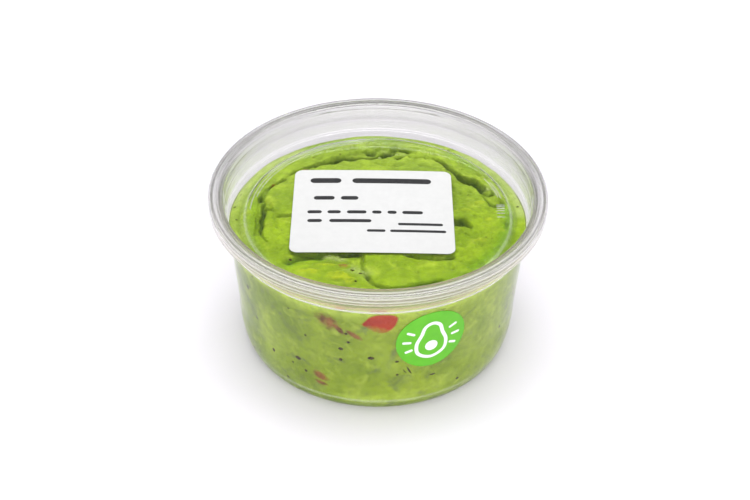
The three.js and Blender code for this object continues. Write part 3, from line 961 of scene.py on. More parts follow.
# Height of the top: the folds in turn, each (1 - (1 - t)^2)^steepness of the way up to its level with
# t the share of its edge; clefts, the roll, furrows, a pocket, lumps and noise follow, and the lid holds it
# all down by a soft minimum
def topHeight(x, y):
    g, tears = guacamole, guacamole["tears"]
    tearX, tearY = (layeredNoise(x, y, *noise) for noise in g["tearNoise"])

    def inside(outline, tear):
        path = smoothPath(outline, closed=True, steps=3)
        return insideDistance(x + tear * tearX, y + tear * tearY, path)

    def furrowed(name):
        return furrowDepth(x + tears[name] * tearX, y + tears[name] * tearY, g[name])

    height = g["shelfLevel"] + g["shelfRough"] * layeredNoise(x, y, *g["shelfNoise"])
    drift = g["foldDrift"] * smoothNoise(x, y, *g["foldNoise"])
    for outline, level, edgeWidth, steepness, tear, ditch in g["folds"]:
        depth = inside(outline, tear)
        if ditch:
            height = height - ditch * np.exp(-((depth / g["ditchWidth"]) ** 2))
        rise = (1 - (1 - np.clip(depth / edgeWidth, 0, 1)) ** 2) ** steepness
        height = height * (1 - rise) + (level + drift) * rise
    height = height - furrowed("clefts")
    beyond = -inside(g["crater"], tears["crater"])
    rise = np.sqrt(1 - (1 - np.clip(beyond / g["craterRim"], 0, 1)) ** 2)
    height = height * (1 - rise) + rollHeight(x, y) * rise
    height = height - furrowed("furrows")
    outline, depth, slope = g["pocket"]
    height = height - depth * smoothStep(inside(outline, tears["pocket"]), 0, slope)
    for lumpX, lumpY, wide, deep, tall in g["lumps"]:
        away = np.hypot((x - lumpX) / wide, (y - lumpY) / deep) + tears["lumps"] * tearX
        height = height + tall * (1 - smoothStep(away, *g["lumpEdge"]))
    mash = sum(rough * layeredNoise(x, y, *noise) for rough, noise in zip(g["mashRough"], g["mashNoise"]))
    height = height + roughnessAt(x, y) * mash
    overBand = smoothStep(np.hypot(x, y), *g["panelEdge"])
    ceiling = g["underPanel"] - (g["underPanel"] - g["underBand"]) * overBand
    return ceiling - g["lidSoftness"] * np.logaddexp(0, (ceiling - height) / g["lidSoftness"])


# Mean over a window of rings and steps round, from shifted copies
def windowMean(grid, rings, steps):
    padded = np.pad(grid, ((rings, rings), (0, 0)), mode="edge")
    total = sum(padded[k : k + len(grid)] for k in range(2 * rings + 1)) / (2 * rings + 1)
    return sum(np.roll(total, k, 1) for k in range(-steps, steps + 1)) / (2 * steps + 1)


# Inside line of the tub, moved into the wall by a hair, up to a little under the guacamole's edge
def guacamoleSide():
    g = guacamole
    outside = cutLine(roundedLine(tubOutside()), g["rowStep"])
    inside = offsetLine(outside, tub["wall"] - g["intoWall"])
    inside[0, 0] = 0
    below = inside[: np.argmax(inside[:, 1] > g["edgeLevel"] - 1.0)]
    last = np.array([[np.interp(g["edgeLevel"], inside[:, 1][20:], inside[:, 0][20:]), g["edgeLevel"]]])
    return np.concatenate([below, last])


sideLine = guacamoleSide()
topEdge = sideLine[-1, 0]  # radius of the edge

# Painted shade, tints and a painted band of light at the edge, on the mesh
painting = {
    "deep": (1.2, 3.4),  # depth under the highest level where the shade starts and is full
    "deepRadii": (45.5, 49.0),
    "windows": ((7, 3, 1.1), (3, 1, 0.5)),  # hollows: rings, steps round, depth at which they are full
    "shares": (0.8, 0.45, 0.9),  # of the depth and of the hollows, and the most of both
    "lumpFull": 0.4,
    "lumpEdge": (0.4, 1.25),
    "lumpTear": 0.3,
    "backPale": (0.20, -10, 30),
    "litEdge": 0.90,
    "litHeights": (43.0, 47.6),
    "litWobble": 0.9,
    "litNoise": (6.0, 95),
    "footShade": 0.3,
    "footHeights": (3.0, 5.5),
}


# Values on top: painted shade from depth and from hollows, lumps of another tint, smears, the pale ones
# partly painted sheen
def topValues(x, y, z):
    g, p = guacamole, painting
    byWall = smoothStep(np.hypot(x, y), *p["deepRadii"])
    highest = g["underPanel"] - (g["underPanel"] - g["ringLevel"]) * byWall
    hollows = sum(
        np.clip((windowMean(z, rings, steps) - z) / full, 0, 1) for rings, steps, full in p["windows"]
    )
    deepShare, hollowShare, most = p["shares"]
    shade = np.clip(deepShare * smoothStep(highest - z, *p["deep"]) + hollowShare * hollows, 0, most)
    tear = layeredNoise(x, y, *g["tearNoise"][0])
    yellow = np.zeros_like(z)
    for lumpX, lumpY, wide, deep, tall in g["lumps"]:
        away = np.hypot((x - lumpX) / wide, (y - lumpY) / deep) + p["lumpTear"] * tear
        yellow = np.maximum(yellow, min(tall / p["lumpFull"], 1) * (1 - smoothStep(away, *p["lumpEdge"])))
    u, v = x + g["tears"]["smears"] * tear, y + g["tears"]["smears"] * tear
    backMost, backLow, backHigh = p["backPale"]
    return {
        "shade": windowMean(shade, 1, 1),
        "yellow": yellow,
        "pale": np.maximum(smearMask(u, v, g["pale"]), backMost * smoothStep(y, backLow, backHigh)),
        "fresh": smearMask(u, v, g["fresh"]),
        "pressed": np.zeros_like(z),
    }


# Values at the wall: pressed all over, a painted band of light at the edge, painted shade at the foot,
# smears on the unrolled wall
def sideValues(grid, angle):
    g, p = guacamole, painting
    up = grid[..., 2]
    along = np.tile(((angle + np.pi) % wholeTurn - np.pi) * sizes["wallRadius"], (len(grid), 1))
    wobble = p["litWobble"] * smoothNoise(along, 0 * up, *p["litNoise"])
    lighter, darker = (
        smearMask(along, up, [(unrolled(path), width, strength) for path, width, strength in g[name]])
        for name in ("paleAtWall", "darkAtWall")
    )
    return {
        "shade": p["footShade"] * (1 - smoothStep(up, *p["footHeights"])) + darker,
        "yellow": 0 * up,
        "pale": np.maximum(p["litEdge"] * smoothStep(up + wobble, *p["litHeights"]), lighter),
        "fresh": 0 * up,
        "pressed": 1 + 0 * up,
    }


# Guacamole: its side turned round the axis, then rings of the top from the edge to the middle, one mesh
def makeGuacamole(material):
    g = guacamole
    grid = turnedGrid(sideLine, g["around"])
    grid[-1, :, 2] = edgeHeight(grid[-1, :, 0], grid[-1, :, 1])
    outerRadii = np.linspace(topEdge, g["innerRadius"], g["rings"] + 1)[1:]
    innerRadii = np.linspace(g["innerRadius"], 0, g["innerRings"] + 1)[1:]
    radii = np.concatenate([outerRadii, innerRadii])[:, None]
    angle = wholeTurn * np.arange(g["around"]) / g["around"]
    x, y = radii * np.cos(angle), radii * np.sin(angle)
    z = topHeight(x, y)
    z[-1] = z[-1].mean()
    besides = sideValues(grid, angle)
    values = {key: np.concatenate([besides[key], value]) for key, value in topValues(x, y, z).items()}
    part = wrappedPart(np.concatenate([grid, np.stack([x, y, z], -1)]), values)
    addPiece("guacamole_dip", [part], material, "guacamole")


# Colours and finish of the mash; noise masks are scale, low, high, detail and distortion
avocado = {
    "top": ((0.262, 0.412, 0.004), (0.394, 0.575, 0.009)),
    "topLumps": (0.45, 0.60, 0.03),
    "fresh": (0.235, 0.440, 0.001),
    "topPaleAndLit": (0.50, 0.62, 0.16),
    "wall": ((0.262, 0.376, 0.011), (0.402, 0.530, 0.020)),
    "wallLumps": (0.49, 0.61, 0.050),
    "wallGrey": (0.20, 0.265, 0.060),
    "wallPaleAndLit": (0.55, 0.69, 0.085),
    "yellow": (0.54, 0.63, 0.012),
    "mottle": (0.10, 0.17, 0.004),
    "mottleShare": 0.30,
    "shade": (0.036, 0.080, 0.0),
    "driftMask": (60.0, 0.36, 0.64, 4.0),
    "topLumpMask": (190.0, 0.54, 0.72, 4.0, 0.8),
    "wallLumpMask": (170.0, 0.54, 0.70, 4.0, 0.9),
    "greyMask": (150.0, 0.56, 0.74, 4.0, 0.6),
    "yellowMask": (260.0, 0.30, 0.62, 3.0, 0.5),
    "mottleMask": (380.0, 0.62, 0.34, 3.0, 0.4),
    # relief: noise scale, strength and depth in metres
    "lumpRelief": (420.0, 0.85, 0.0012),
    "grainRelief": (1300.0, 0.5, 0.0004),
    "rough": (0.42, 0.62),
    "specular": 0.12,
}


# Colour of mashed avocado: two greens in slow drifts, soft yellow lumps and dull smears, all mottled by a
# finer noise; paler and less strong where it is pressed on the wall. The pale value, partly painted sheen
# and a painted band of light, lightens it, and painted shade darkens it where it lies deep
def avocadoColour(tree, place):
    def mask(name):
        return noiseMask(tree, place, *avocado[name])

    def scaled(value, factor):
        return addNode(tree, "Math", {0: value, 1: factor}, operation="MULTIPLY").outputs[0]

    drift = mask("driftMask")
    pale = readValue(tree, "pale")
    onTop = mixColour(tree, drift, *avocado["top"])
    onTop = mixColour(tree, mask("topLumpMask"), onTop, avocado["topLumps"])
    onTop = mixColour(tree, readValue(tree, "fresh"), onTop, avocado["fresh"])
    onTop = mixColour(tree, pale, onTop, avocado["topPaleAndLit"])
    atWall = mixColour(tree, drift, *avocado["wall"])
    atWall = mixColour(tree, mask("wallLumpMask"), atWall, avocado["wallLumps"])
    atWall = mixColour(tree, mask("greyMask"), atWall, avocado["wallGrey"])
    atWall = mixColour(tree, pale, atWall, avocado["wallPaleAndLit"])
    colour = mixColour(tree, readValue(tree, "pressed"), onTop, atWall)
    broken = scaled(readValue(tree, "yellow"), mask("yellowMask"))
    colour = mixColour(tree, broken, colour, avocado["yellow"])
    colour = mixColour(tree, scaled(mask("mottleMask"), avocado["mottleShare"]), colour, avocado["mottle"])
    return mixColour(tree, readValue(tree, "shade"), colour, avocado["shade"])


# Fine relief of the mash: lumps of a few millimetres under a grain of less than one
def mashBump(tree, place):
    normal = {}
    for scale, strength, depth in (avocado["lumpRelief"], avocado["grainRelief"]):
        noise = addNoise(tree, place, scale)
        relief = {"Height": noise, "Strength": strength, "Distance": depth, **normal}
        normal = {"Normal": addNode(tree, "Bump", relief).outputs["Normal"]}
    return normal["Normal"], noise


# Mash: its colour and relief, rougher and smoother with the grain
def makeGuacamoleMaterial():
    material, tree, place = newMaterial("mashedAvocado")
    normal, grain = mashBump(tree, place)
    rough = toSpan(tree, grain, avocado["rough"])
    finishSolid(tree, avocadoColour(tree, place), rough, normal, avocado["specular"])
    return material


# Flat closed disc or panel: rings of an outline from the middle out, with a top and an under face
def plateGrid(outline, rings, thickness):
    share = np.sqrt(np.linspace(0, 1, rings + 1))[:, None, None]
    flat = share * outline[None]
    over = np.concatenate([flat, np.full(flat.shape[:2] + (1,), thickness)], -1)
    under = np.concatenate([flat[::-1], np.zeros(flat.shape[:2] + (1,))], -1)
    return np.concatenate([over, under])


# Stroke of ink: a box section carried along a path, its width drawn in as a half circle at free ends
def strokeGrid(path, width, thickness, closed=False, endSteps=4):
    path = np.array(path, float)
    if closed:
        step = np.roll(path, -1, 0) - np.roll(path, 1, 0)
    else:
        step = np.gradient(path, axis=0)
    step /= np.hypot(*step.T)[:, None]
    half = np.full(len(path), width / 2)
    if not closed:
        turn = np.radians(np.linspace(90, 0, endSteps + 1)[1:])
        reach, narrow = np.cos(turn)[:, None] * width / 2, np.sin(turn) * width / 2
        path = np.concatenate([path[:1] - reach[::-1] * step[:1], path, path[-1:] + reach * step[-1:]])
        step = np.concatenate([np.repeat(step[:1], endSteps, 0), step, np.repeat(step[-1:], endSteps, 0)])
        half = np.concatenate([narrow[::-1], half, narrow])
    across = np.stack([-step[:, 1], step[:, 0]], 1) * half[:, None]
    flat = np.stack([path - across, path + across, path + across, path - across], 1)
    height = np.broadcast_to(np.array([0, 0, thickness, thickness])[None, :, None], flat.shape[:2] + (1,))
    grid = np.concatenate([flat, height], -1)
    if not closed:
        for end in (0, -1):
            grid[end] = grid[end].mean(0)
    return grid


# Rounded rectangle about the origin: four quarter circles, the straight sides cut into steps
def roundedRectangle(wide, deep, corner, longest=2.5):
    x, y = wide / 2, deep / 2
    corners = [(side * x, end * y, corner) for side, end in ((1, -1), (1, 1), (-1, 1), (-1, -1))]
    return cutLine(roundedLine([(0, -y, 0), *corners, (0, -y)]), longest)[:-1]


# Paper label on the lid, in millimetres, and its print as plain bars, each from a left to a right end
label = {
    "wide": 57.7,
    "narrowing": 0.02,  # share by which its back edge is shorter
    "deep": 49.0,
    "corner": 3.0,
    "place": (-1.85, 1.15),
    "turn": 0.15,
    "thickness": 0.14,
    "ink": 0.02,
    "inkGap": 0.005,
    "bow": 0.35,
    "gap": 0.02,
    "rings": 14,
    "lines": [
        # height on the label, bar height, bars
        (17.9, 3.0, [(-23.0, -11.6), (-7.6, 21.4)]),
        (7.3, 2.2, [(-21.4, -13.8), (-11.6, -5.2)]),
        (-1.1, 1.8, [(-23.4, -18.2), (-16.2, -11.4), (-9.2, -2.2), (-0.2, 3.2), (5.3, 8.6), (10.6, 18.0)]),
        (-6.3, 1.8, [(-23.2, -18.0), (-15.4, -0.4)]),
        (-8.0, 1.4, [(9.0, 25.0)]),
        (-12.0, 1.4, [(-2.0, 4.6), (6.2, 26.0)]),
    ],
}


# Place of flat points on the lid's panel: narrowed towards the back, turned, moved, and bowed up between
# the two sides by 1 - (2x / wide)^2
def onLabel(grid, lift):
    turn = np.radians(label["turn"])
    across = grid[..., 0] * (1 - label["narrowing"] * (0.5 + grid[..., 1] / label["deep"]))
    x = label["place"][0] + across * np.cos(turn) - grid[..., 1] * np.sin(turn)
    y = label["place"][1] + across * np.sin(turn) + grid[..., 1] * np.cos(turn)
    bow = label["bow"] * (1 - (2 * grid[..., 0] / label["wide"]) ** 2)
    return np.stack([x, y, lid["panelHeight"] + label["gap"] + bow + lift + grid[..., 2]], -1)


# Label: a thin closed plate laid on the lid, and a stroke of ink for each bar of its print
def makeLabel(paper, ink):
    outline = roundedRectangle(label["wide"], label["deep"], label["corner"])
    plate = onLabel(plateGrid(outline, label["rings"], label["thickness"]), 0)
    addPiece("paper_label", [wrappedPart(plate)], paper, "top_label", sharp=True)
    over = label["thickness"] + label["inkGap"]
    bars = []
    for height, tall, spans in label["lines"]:
        for left, right in spans:
            x = np.linspace(left + tall / 2, right - tall / 2, int(right - left) + 2)
            path = np.stack([x, np.full(len(x), height)], 1)
            bars.append(wrappedPart(onLabel(strokeGrid(path, tall, label["ink"]), over)))
    addPiece("paper_label_print", bars, ink, sharp=True)


# Round sticker on the side wall, in millimetres
sticker = {
    "radius": 12.7,
    "angle": -68.5,
    "height": 33.5,
    "thickness": 0.10,
    "gap": 0.03,
    "ink": 0.02,
    "inkGap": 0.005,
    "around": 72,
    "rings": 14,
    "stroke": 1.3,
    "rayStroke": 0.8,  # share of the stroke
    "fruit": [(0, 7.6), (2.6, 6.2), (3.8, 2.6), (5.4, -1.6), (4.6, -6.0), (0, -8.2), (-4.6, -6.0),
              (-5.4, -1.6), (-3.8, 2.6), (-2.6, 6.2)],
    "pitPlace": (0, -2.9),
    "pitRadius": 2.3,
    "rays": [
        [(-8.6, 4.6), (-6.6, 3.6)], [(-10.0, 0.2), (-7.8, 0.0)], [(-9.0, -4.4), (-7.2, -3.7)],
        [(8.6, 4.6), (6.6, 3.6)], [(10.0, 0.2), (7.8, 0.0)], [(9.0, -4.4), (7.2, -3.7)],
    ],
}


# Outside radius of the tub's side at a height, on the cone between heel and shoulder
def sideRadius(height):
    share = (height - tub["heelHeight"]) / (tub["shoulderHeight"] - tub["heelHeight"])
    return tub["heelRadius"] + (tub["shoulderRadius"] - tub["heelRadius"]) * share


# Flat points wrapped on the side: x runs round the wall, y up it, z out of it
def onSide(grid, lift):
    height = sticker["height"] + grid[..., 1]
    radius = sideRadius(height)
    angle = np.radians(sticker["angle"]) + grid[..., 0] / sideRadius(sticker["height"])
    out = radius + lift + grid[..., 2]
    return np.stack([out * np.cos(angle), out * np.sin(angle), height], -1)


# Sticker: a thin closed disc wrapped on the wall, and its print of a halved fruit with rays
def makeSticker(film, ink):
    s = sticker
    turn = wholeTurn * np.arange(s["around"]) / s["around"]
    circle = np.stack([np.cos(turn), np.sin(turn)], 1)
    plate = wrappedPart(onSide(plateGrid(s["radius"] * circle, s["rings"], s["thickness"]), s["gap"]))
    addPiece("film_sticker", [plate], film, "side_sticker", sharp=True)
    over = s["gap"] + s["thickness"] + s["inkGap"]
    fruit = strokeGrid(smoothPath(s["fruit"], closed=True, steps=6), s["stroke"], s["ink"], closed=True)
    pit = plateGrid(s["pitRadius"] * circle[::3], 4, s["ink"])
    pit[..., :2] += s["pitPlace"]
    parts = [wrappedPart(onSide(fruit, over), loop=True), wrappedPart(onSide(pit, over))]
    for ray in s["rays"]:
        stroke = strokeGrid(smoothPath(ray, steps=3), s["rayStroke"] * s["stroke"], s["ink"])
        parts.append(wrappedPart(onSide(stroke, over)))
    addPiece("film_sticker_print", parts, ink, sharp=True)


# Paper, film, ink and onion: dark and bright colour, noise scale, roughness, grain
grainDepth = 0.0001  # metres
printFinishes = {
    "labelPaper": ((0.665, 0.665, 0.665), (0.695, 0.695, 0.695), 400.0, (0.5, 0.7), 0.15),
    "labelInk": ((0.018, 0.018, 0.02), (0.03, 0.03, 0.032), 900.0, (0.35, 0.5), 0.1),
    "stickerFilm": ((0.086, 0.385, 0.007), (0.104, 0.43, 0.011), 250.0, (0.3, 0.42), 0.08),
    "stickerInk": ((0.70, 0.72, 0.70), (0.76, 0.77, 0.76), 600.0, (0.35, 0.5), 0.1),
    "onionFlesh": ((0.32, 0.43, 0.07), (0.43, 0.53, 0.14), 500.0, (0.3, 0.45), 0.3),
}


# Plain finish: a colour drifting by noise, under a grain four times as fine
def makePrintMaterial(name):
    dark, bright, scale, rough, grain = printFinishes[name]
    material, tree, place = newMaterial(name)
    colour = mixColour(tree, noiseMask(tree, place, scale, 0.3, 0.7), dark, bright)
    fine = addNoise(tree, place, 4 * scale, 4.0)
    bump = addNode(tree, "Bump", {"Height": fine, "Strength": grain, "Distance": grainDepth})
    finishSolid(tree, colour, toSpan(tree, fine, rough), bump.outputs["Normal"], specular=0.4)
    return material


# Things pressed against the wall inside and lying on top, in millimetres; places at the wall are an angle
# in degrees and a height
bits = {
    "proud": 0.14,
    "tomatoSink": 0.04,
    "tomatoDepth": 3.0,
    "tomato": [(-96.2, 42.6), (-94.4, 45.0), (-92.2, 47.1), (-89.4, 47.9), (-86.0, 47.9), (-83.2, 47.6),
               (-81.6, 46.2), (-81.9, 43.6), (-83.1, 41.2), (-85.2, 39.2), (-88.2, 38.4), (-91.6, 39.4),
               (-94.2, 41.0)],
    "tomatoRings": 14,
    "tomatoEdge": (0.80, 1.0),  # share of the outline where its colour starts to fade and is gone
    "tomatoLow": (38.5, 45.0),
    "tomatoLeft": (-91, -84),
    "tomatoShow": (0.34, 0.66, 0.6),  # least, how much more at the top, and the right side's part in that
    # lenses: rise of the back, sink and depth of the belly, height of the back where they start to show
    "lens": (0.20, 0.06, 0.3, 0.30),
    "lensOnTop": 0.03,
    # chile skin at the wall: path, half width, strength
    "chile": [
        ([(-115.6, 45.2), (-111.9, 43.4), (-108.6, 41.8), (-105.7, 39.9), (-102.4, 38.0)], 4.6, 0.80),
        ([(-111.6, 43.2), (-107.8, 41.5), (-104.9, 39.8), (-102.6, 37.6), (-100.2, 35.8)], 1.6, 1.2),
        ([(-103.4, 39.6), (-100.0, 38.2), (-96.6, 36.2), (-94.4, 34.6)], 1.7, 1.1),
        ([(-117.6, 16.9), (-114.3, 15.0), (-111.2, 13.9), (-107.6, 13.6)], 2.7, 1.05),
        ([(-116.4, 12.3), (-112.6, 11.1), (-108.0, 10.8)], 1.6, 0.9),
        ([(-66.0, 47.0), (-64.6, 46.2), (-63.6, 46.6)], 0.6, 0.5),
        ([(-20, 33), (-18, 30), (-17, 26)], 1.2, 0.6), ([(38, 22), (41, 20)], 1.0, 0.7),
        ([(77, 38), (81, 35), (83, 34)], 1.4, 0.6), ([(132, 14), (136, 13)], 0.9, 0.7),
        ([(168, 41), (171, 38)], 1.1, 0.6), ([(112, 28), (114, 25), (117, 24)], 0.9, 0.6),
        ([(-170, 26), (-167, 24)], 0.9, 0.6), ([(20, 44), (24, 42.5)], 1.0, 0.6),
    ],
    # the same on top: path in x and y, half width, strength
    "chileOnTop": [
        ([(-39.3, 16.6), (-38.0, 17.9), (-36.6, 19.0)], 0.7, 0.7),
        ([(-29.6, 27.2), (-27.0, 28.6), (-24.3, 29.0)], 0.9, 0.7),
        ([(-14.8, -29.4), (-11.8, -28.6), (-8.8, -29.1)], 2.2, 0.75),
        ([(-4.5, -51.2), (0.5, -51.6), (5.5, -51.2)], 1.3, 1.2),
        ([(-15.4, -49.2), (-12.2, -50.3), (-9.0, -50.9)], 1.2, 1.1),
    ],
    # pepper at the wall: angle, height, half length along the wall, half height
    "pepper": [
        (-122.8, 19.2, 0.85, 0.62), (-136.2, 16.3, 0.50, 0.55), (-103.8, 29.9, 0.62, 0.52),
        (-103.9, 24.7, 0.48, 0.5), (-101.6, 37.6, 0.50, 0.45), (-100.7, 33.6, 0.45, 0.42),
        (-92.0, 26.8, 0.85, 0.55), (-119.3, 14.5, 0.42, 0.42), (-129.3, 6.9, 0.52, 0.42),
        (-81.8, 24.8, 0.50, 0.36), (-81.5, 18.3, 0.40, 0.34), (-66.7, 15.7, 0.80, 0.25),
        (-54.5, 9.1, 0.48, 0.45), (-125.3, 41.8, 0.26, 0.26), (-125.6, 16.0, 0.30, 0.30),
        (-118.4, 32.0, 0.34, 0.34), (-29.9, 20.4, 0.45, 0.5),
    ],
    # and as streaks: path, half width, strength
    "pepperStreaks": [
        ([(-78.4, 23.2), (-77.3, 20.8), (-76.2, 18.8), (-74.9, 16.8)], 0.50, 1.0),
        ([(-79.8, 21.6), (-78.6, 19.6), (-77.5, 18.2)], 0.40, 0.75),
    ],
    # pepper on top: x, y, half size
    "pepperOnTop": [
        (-51.3, 6.2, 0.42), (-50.1, -1.6, 0.34), (25.9, 43.4, 0.42), (50.1, 8.4, 0.42),
        (-8.3, -31.6, 0.40), (-5.7, -33.1, 0.50), (-7.3, -37.7, 0.38), (-8.9, -31.2, 0.34),
        (23.0, 34.0, 0.5), (-24, 35.6, 0.3), (-33.6, 21.0, 0.35), (12.2, 36.0, 0.3),
        (-30.0, 12.0, 0.25), (38.0, -12.0, 0.22), (14.0, -33.0, 0.18),
    ],
    "speckStrength": 2.4,
    "topSpeck": (1.2, 0.9, 0.3),  # length and width over the half size, and the turn, of those placed on top
    "speckGrow": {True: 1.85, False: 1.4},  # a lens shows a part of its outline, at the wall and on top
    "seed": 19,
    "random": 90,  # more of them, three of four at the wall, the others on top
    "randomHalf": (0.2, 0.4),  # least half size, and how much more at most
    "randomLonger": (1, 1.7),
    "randomHeight": (7, 46),
    "randomAngles": (-25, 220),  # past the front, in degrees
    "randomRadius": 52,
    "randomInner": 0.2,  # share of the area in the middle that has none
    "randomOnTop": 0.7,  # how much smaller they are on top
    # onion crumbs on top: x, y, half size
    "onion": [
        (-17.8, -23.9, 0.7), (-16.4, -23.5, 0.6), (-15.3, -24.9, 0.8), (-13.6, -23.9, 0.7),
        (-12.2, -25.4, 0.7), (-14.3, -25.7, 0.5), (-8.0, -30.6, 0.6), (-5.0, -31.8, 0.7),
        (-3.9, -32.9, 0.5), (4.6, 39.4, 1.0), (6.8, 39.2, 0.9), (-2.6, 36.0, 0.8), (0.4, 36.6, 0.7),
        (39.8, 17.4, 0.9), (41.2, 16.8, 0.7),
    ],
}


# Place at the guacamole's side, moved out by a lift: the radius is read off the side's line at the height
def wallPlace(angle, height, lift):
    rising = sideLine[np.argmax(sideLine[:, 0] > tub["footRadius"] - guacamole["intoWall"]) :]
    radius = np.interp(height, rising[:, 1], rising[:, 0]) + lift
    height = np.broadcast_to(height, angle.shape)
    return np.stack([radius * np.cos(angle), radius * np.sin(angle), height], -1)


# Lens at the wall: rings of an outline from its middle out, its outer face bulging by sqrt(1 - share^2);
# the value "blend" falls at the outline and fades towards the lower left
def makeTomato(material):
    b = bits
    outline = smoothPath(b["tomato"], closed=True, steps=6)
    share = np.sin(np.linspace(0, np.pi / 2, b["tomatoRings"] + 1))[:, None]
    middle = outline.mean(0)
    angle = np.radians(middle[0] + share * (outline[:, 0] - middle[0])[None])
    height = middle[1] + share * (outline[:, 1] - middle[1])[None]
    bulge = np.sqrt(1 - share**2)
    outer = wallPlace(angle, height, (b["proud"] + b["tomatoSink"]) * bulge - b["tomatoSink"])
    inner = wallPlace(angle, height, -b["tomatoSink"] - b["tomatoDepth"] * bulge)
    least, more, fromRight = b["tomatoShow"]
    right = smoothStep(angle, *np.radians(b["tomatoLeft"]))
    strong = np.clip(smoothStep(height, *b["tomatoLow"]) + fromRight * right, 0, 1)
    blend = (1 - smoothStep(share, *b["tomatoEdge"])) * (least + more * strong)
    grid = np.concatenate([outer, inner[::-1]])
    blend = np.concatenate([blend, blend[::-1]])
    part = wrappedPart(grid, {"blend": np.clip(blend, 0, 1), "pressed": np.ones(blend.shape)})
    addPiece("tomato_dice", [part], material, "tomato_piece")


# Thin lens carried along a path: its back rises as the square of the sine round its section and both ends
# narrow, so that its outline lies just under the surface. "blend" is greatest on its back. The place of a
# point comes from a function of along, across and lift.
def spindle(path, halfWidth, strength, onSurface, pressed, steps=5, sections=20):
    line = smoothPath(path, steps=steps)
    step = np.gradient(line, axis=0)
    step /= np.hypot(*step.T)[:, None]
    across = np.stack([-step[:, 1], step[:, 0]], 1)
    taper = np.sqrt(np.maximum(1 - np.linspace(-1, 1, len(line)) ** 2, 0))[:, None]
    section = wholeTurn * np.arange(sections) / sections
    sideways = halfWidth * taper * np.cos(section)
    u = line[:, :1] + sideways * across[:, :1]
    v = line[:, 1:] + sideways * across[:, 1:]
    back = np.clip(np.sin(section), 0, 1) ** 2 * taper**2
    belly = np.clip(-np.sin(section), 0, 1) * taper
    rise, sink, depth, showing = bits["lens"]
    grid = onSurface(u, v, rise * back - sink - depth * belly)
    blend = strength * smoothStep(back, showing, 1.0)
    return wrappedPart(grid, {"blend": blend, "pressed": np.full(blend.shape, float(pressed))})


# Place at the wall of a point on the unrolled wall: its angle is the length over the radius
def atWall(u, v, lift):
    return wallPlace(u / sizes["wallRadius"], v, lift)


# Place on top of a point seen from above: its height is the top's
def onTop(u, v, lift):
    return np.stack([u, v, topHeight(u, v) + bits["lensOnTop"] + lift], -1)


# Spindles at the wall along paths of angle and height
def wallSpindles(name):
    return [spindle(unrolled(path), half, strength, atWall, True) for path, half, strength in bits[name]]


# Chile: a spindle along each path, at the wall and on top
def makeChile(material):
    above = [spindle(path, half, strength, onTop, False) for path, half, strength in bits["chileOnTop"]]
    addPiece("chile_flecks", wallSpindles("chile") + above, material)


# Small blob: a ball squashed to three half sizes, made uneven by noise, at a place
def blob(place, halfSizes, seed, uneven=0.22):
    down = np.linspace(0, np.pi, 6)[:, None]
    turn = wholeTurn * np.arange(8) / 8
    ball = np.stack([np.sin(down) * np.cos(turn), np.sin(down) * np.sin(turn), np.cos(down) + 0 * turn], -1)
    size = 1 + uneven * smoothNoise(ball[..., 0] + 9 * seed, ball[..., 1] + ball[..., 2], 0.7, 7)
    size[0], size[-1] = 1, 1
    return wrappedPart(place + ball * size[..., None] * halfSizes)


# Specks: spindles as long as they are wide, or a little longer, turned any way
def makePepper(material):
    b = bits
    rng = np.random.default_rng(b["seed"])
    parts = []

    def addSpeck(u, v, halfLong, halfWide, turn, onSurface, pressed):
        grow = b["speckGrow"][pressed]
        reach = grow * halfLong * np.array([np.cos(turn), np.sin(turn)])
        ends, wide = [(u, v) - reach, (u, v) + reach], grow * halfWide
        parts.append(spindle(ends, wide, b["speckStrength"], onSurface, pressed, steps=4, sections=12))

    for angle, height, halfLong, halfWide in b["pepper"]:
        addSpeck(np.radians(angle) * sizes["wallRadius"], height, halfLong, halfWide, 0, atWall, True)
    longer, wider, turn = b["topSpeck"]
    for x, y, half in b["pepperOnTop"]:
        addSpeck(x, y, longer * half, wider * half, turn, onTop, False)
    parts.extend(wallSpindles("pepperStreaks"))
    least, more = b["randomHalf"]
    first, last = b["randomAngles"]
    for number in range(b["random"]):
        half = least + more * rng.random() ** 3
        longer, turn = rng.uniform(*b["randomLonger"]), rng.uniform(0, np.pi)
        if number % 4:
            along = np.radians(first + (last - first) * rng.random()) * sizes["wallRadius"]
            addSpeck(along, rng.uniform(*b["randomHeight"]), longer * half, half, turn, atWall, True)
        else:
            angle = wholeTurn * rng.random()
            radius = b["randomRadius"] * np.sqrt(rng.uniform(b["randomInner"], 1))
            x, y, small = radius * np.cos(angle), radius * np.sin(angle), b["randomOnTop"]
            addSpeck(x, y, small * longer * half, small * half, turn, onTop, False)
    addPiece("pepper_specks", parts, material)


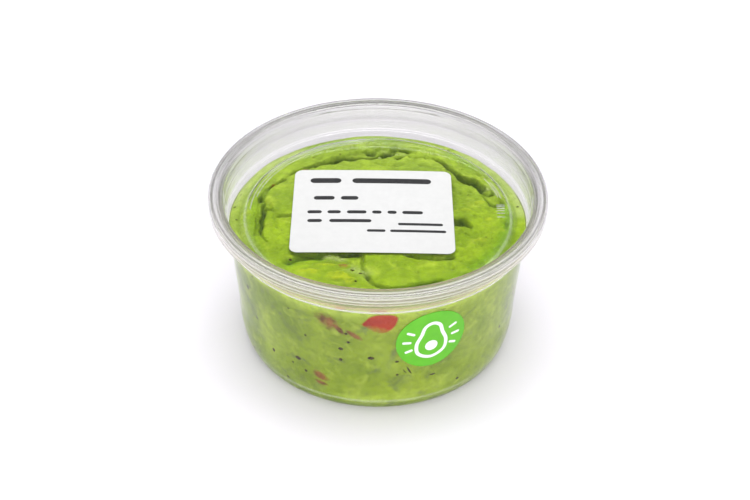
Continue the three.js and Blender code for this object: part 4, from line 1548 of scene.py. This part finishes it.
# Onion: a small flattened blob at each place on top
def makeOnion(material):
    parts = []
    for seed, (x, y, half) in enumerate(bits["onion"]):
        height = topHeight(np.array([x]), np.array([y]))[0]
        parts.append(blob(np.array([x, y, height]), (half, 0.9 * half, 0.4 * half), seed))
    addPiece("onion_crumbs", parts, material)


# Sunk bits: dark and bright colour, noise scale, roughness, how torn their edges are
bitFinishes = {
    "tomatoFlesh": ((0.41, 0.024, 0.001), (0.54, 0.050, 0.002), 220.0, (0.3, 0.5), 0.7),
    "chileSkin": ((0.15, 0.066, 0.007), (0.39, 0.165, 0.030), 300.0, (0.35, 0.55), 1.5),
    "blackPepper": ((0.026, 0.018, 0.0), (0.075, 0.050, 0.001), 900.0, (0.5, 0.7), 0.5),
}
tearScale = 500.0


# Bits sunk in the guacamole: their own colour, from dark to bright, mixed with the green around them
def makeBitMaterial(name):
    dark, bright, scale, rough, tears = bitFinishes[name]
    material, tree, place = newMaterial(name)
    own = mixColour(tree, noiseMask(tree, place, scale, 0.35, 0.65), dark, bright)
    torn = addNode(tree, "Math", {0: addNoise(tree, place, tearScale), 1: 0.5}, operation="SUBTRACT")
    edge = {0: torn.outputs[0], 1: tears, 2: readValue(tree, "blend")}
    edge = addNode(tree, "Math", edge, operation="MULTIPLY_ADD").outputs[0]
    blend = addNode(tree, "MapRange", {"Value": edge, "From Min": 0.12, "From Max": 0.85}).outputs["Result"]
    normal, grain = mashBump(tree, place)
    colour = mixColour(tree, blend, avocadoColour(tree, place), own)
    finishSolid(tree, colour, toSpan(tree, grain, rough), normal, avocado["specular"])
    return material


makeCamera()
makeLight()
makeFloor()
print("camera, light and floor made")
clearPlastic = makeClearPlastic()
makeTub(clearPlastic)
makeLid(clearPlastic)
makeLidMarks(clearPlastic)
print("tub and lid made")
makeGuacamole(makeGuacamoleMaterial())
makeTomato(makeBitMaterial("tomatoFlesh"))
makeChile(makeBitMaterial("chileSkin"))
makePepper(makeBitMaterial("blackPepper"))
makeOnion(makePrintMaterial("onionFlesh"))
print("guacamole, tomato, chile, pepper and onion made")
makeLabel(makePrintMaterial("labelPaper"), makePrintMaterial("labelInk"))
makeSticker(makePrintMaterial("stickerFilm"), makePrintMaterial("stickerInk"))
print("label and sticker made")
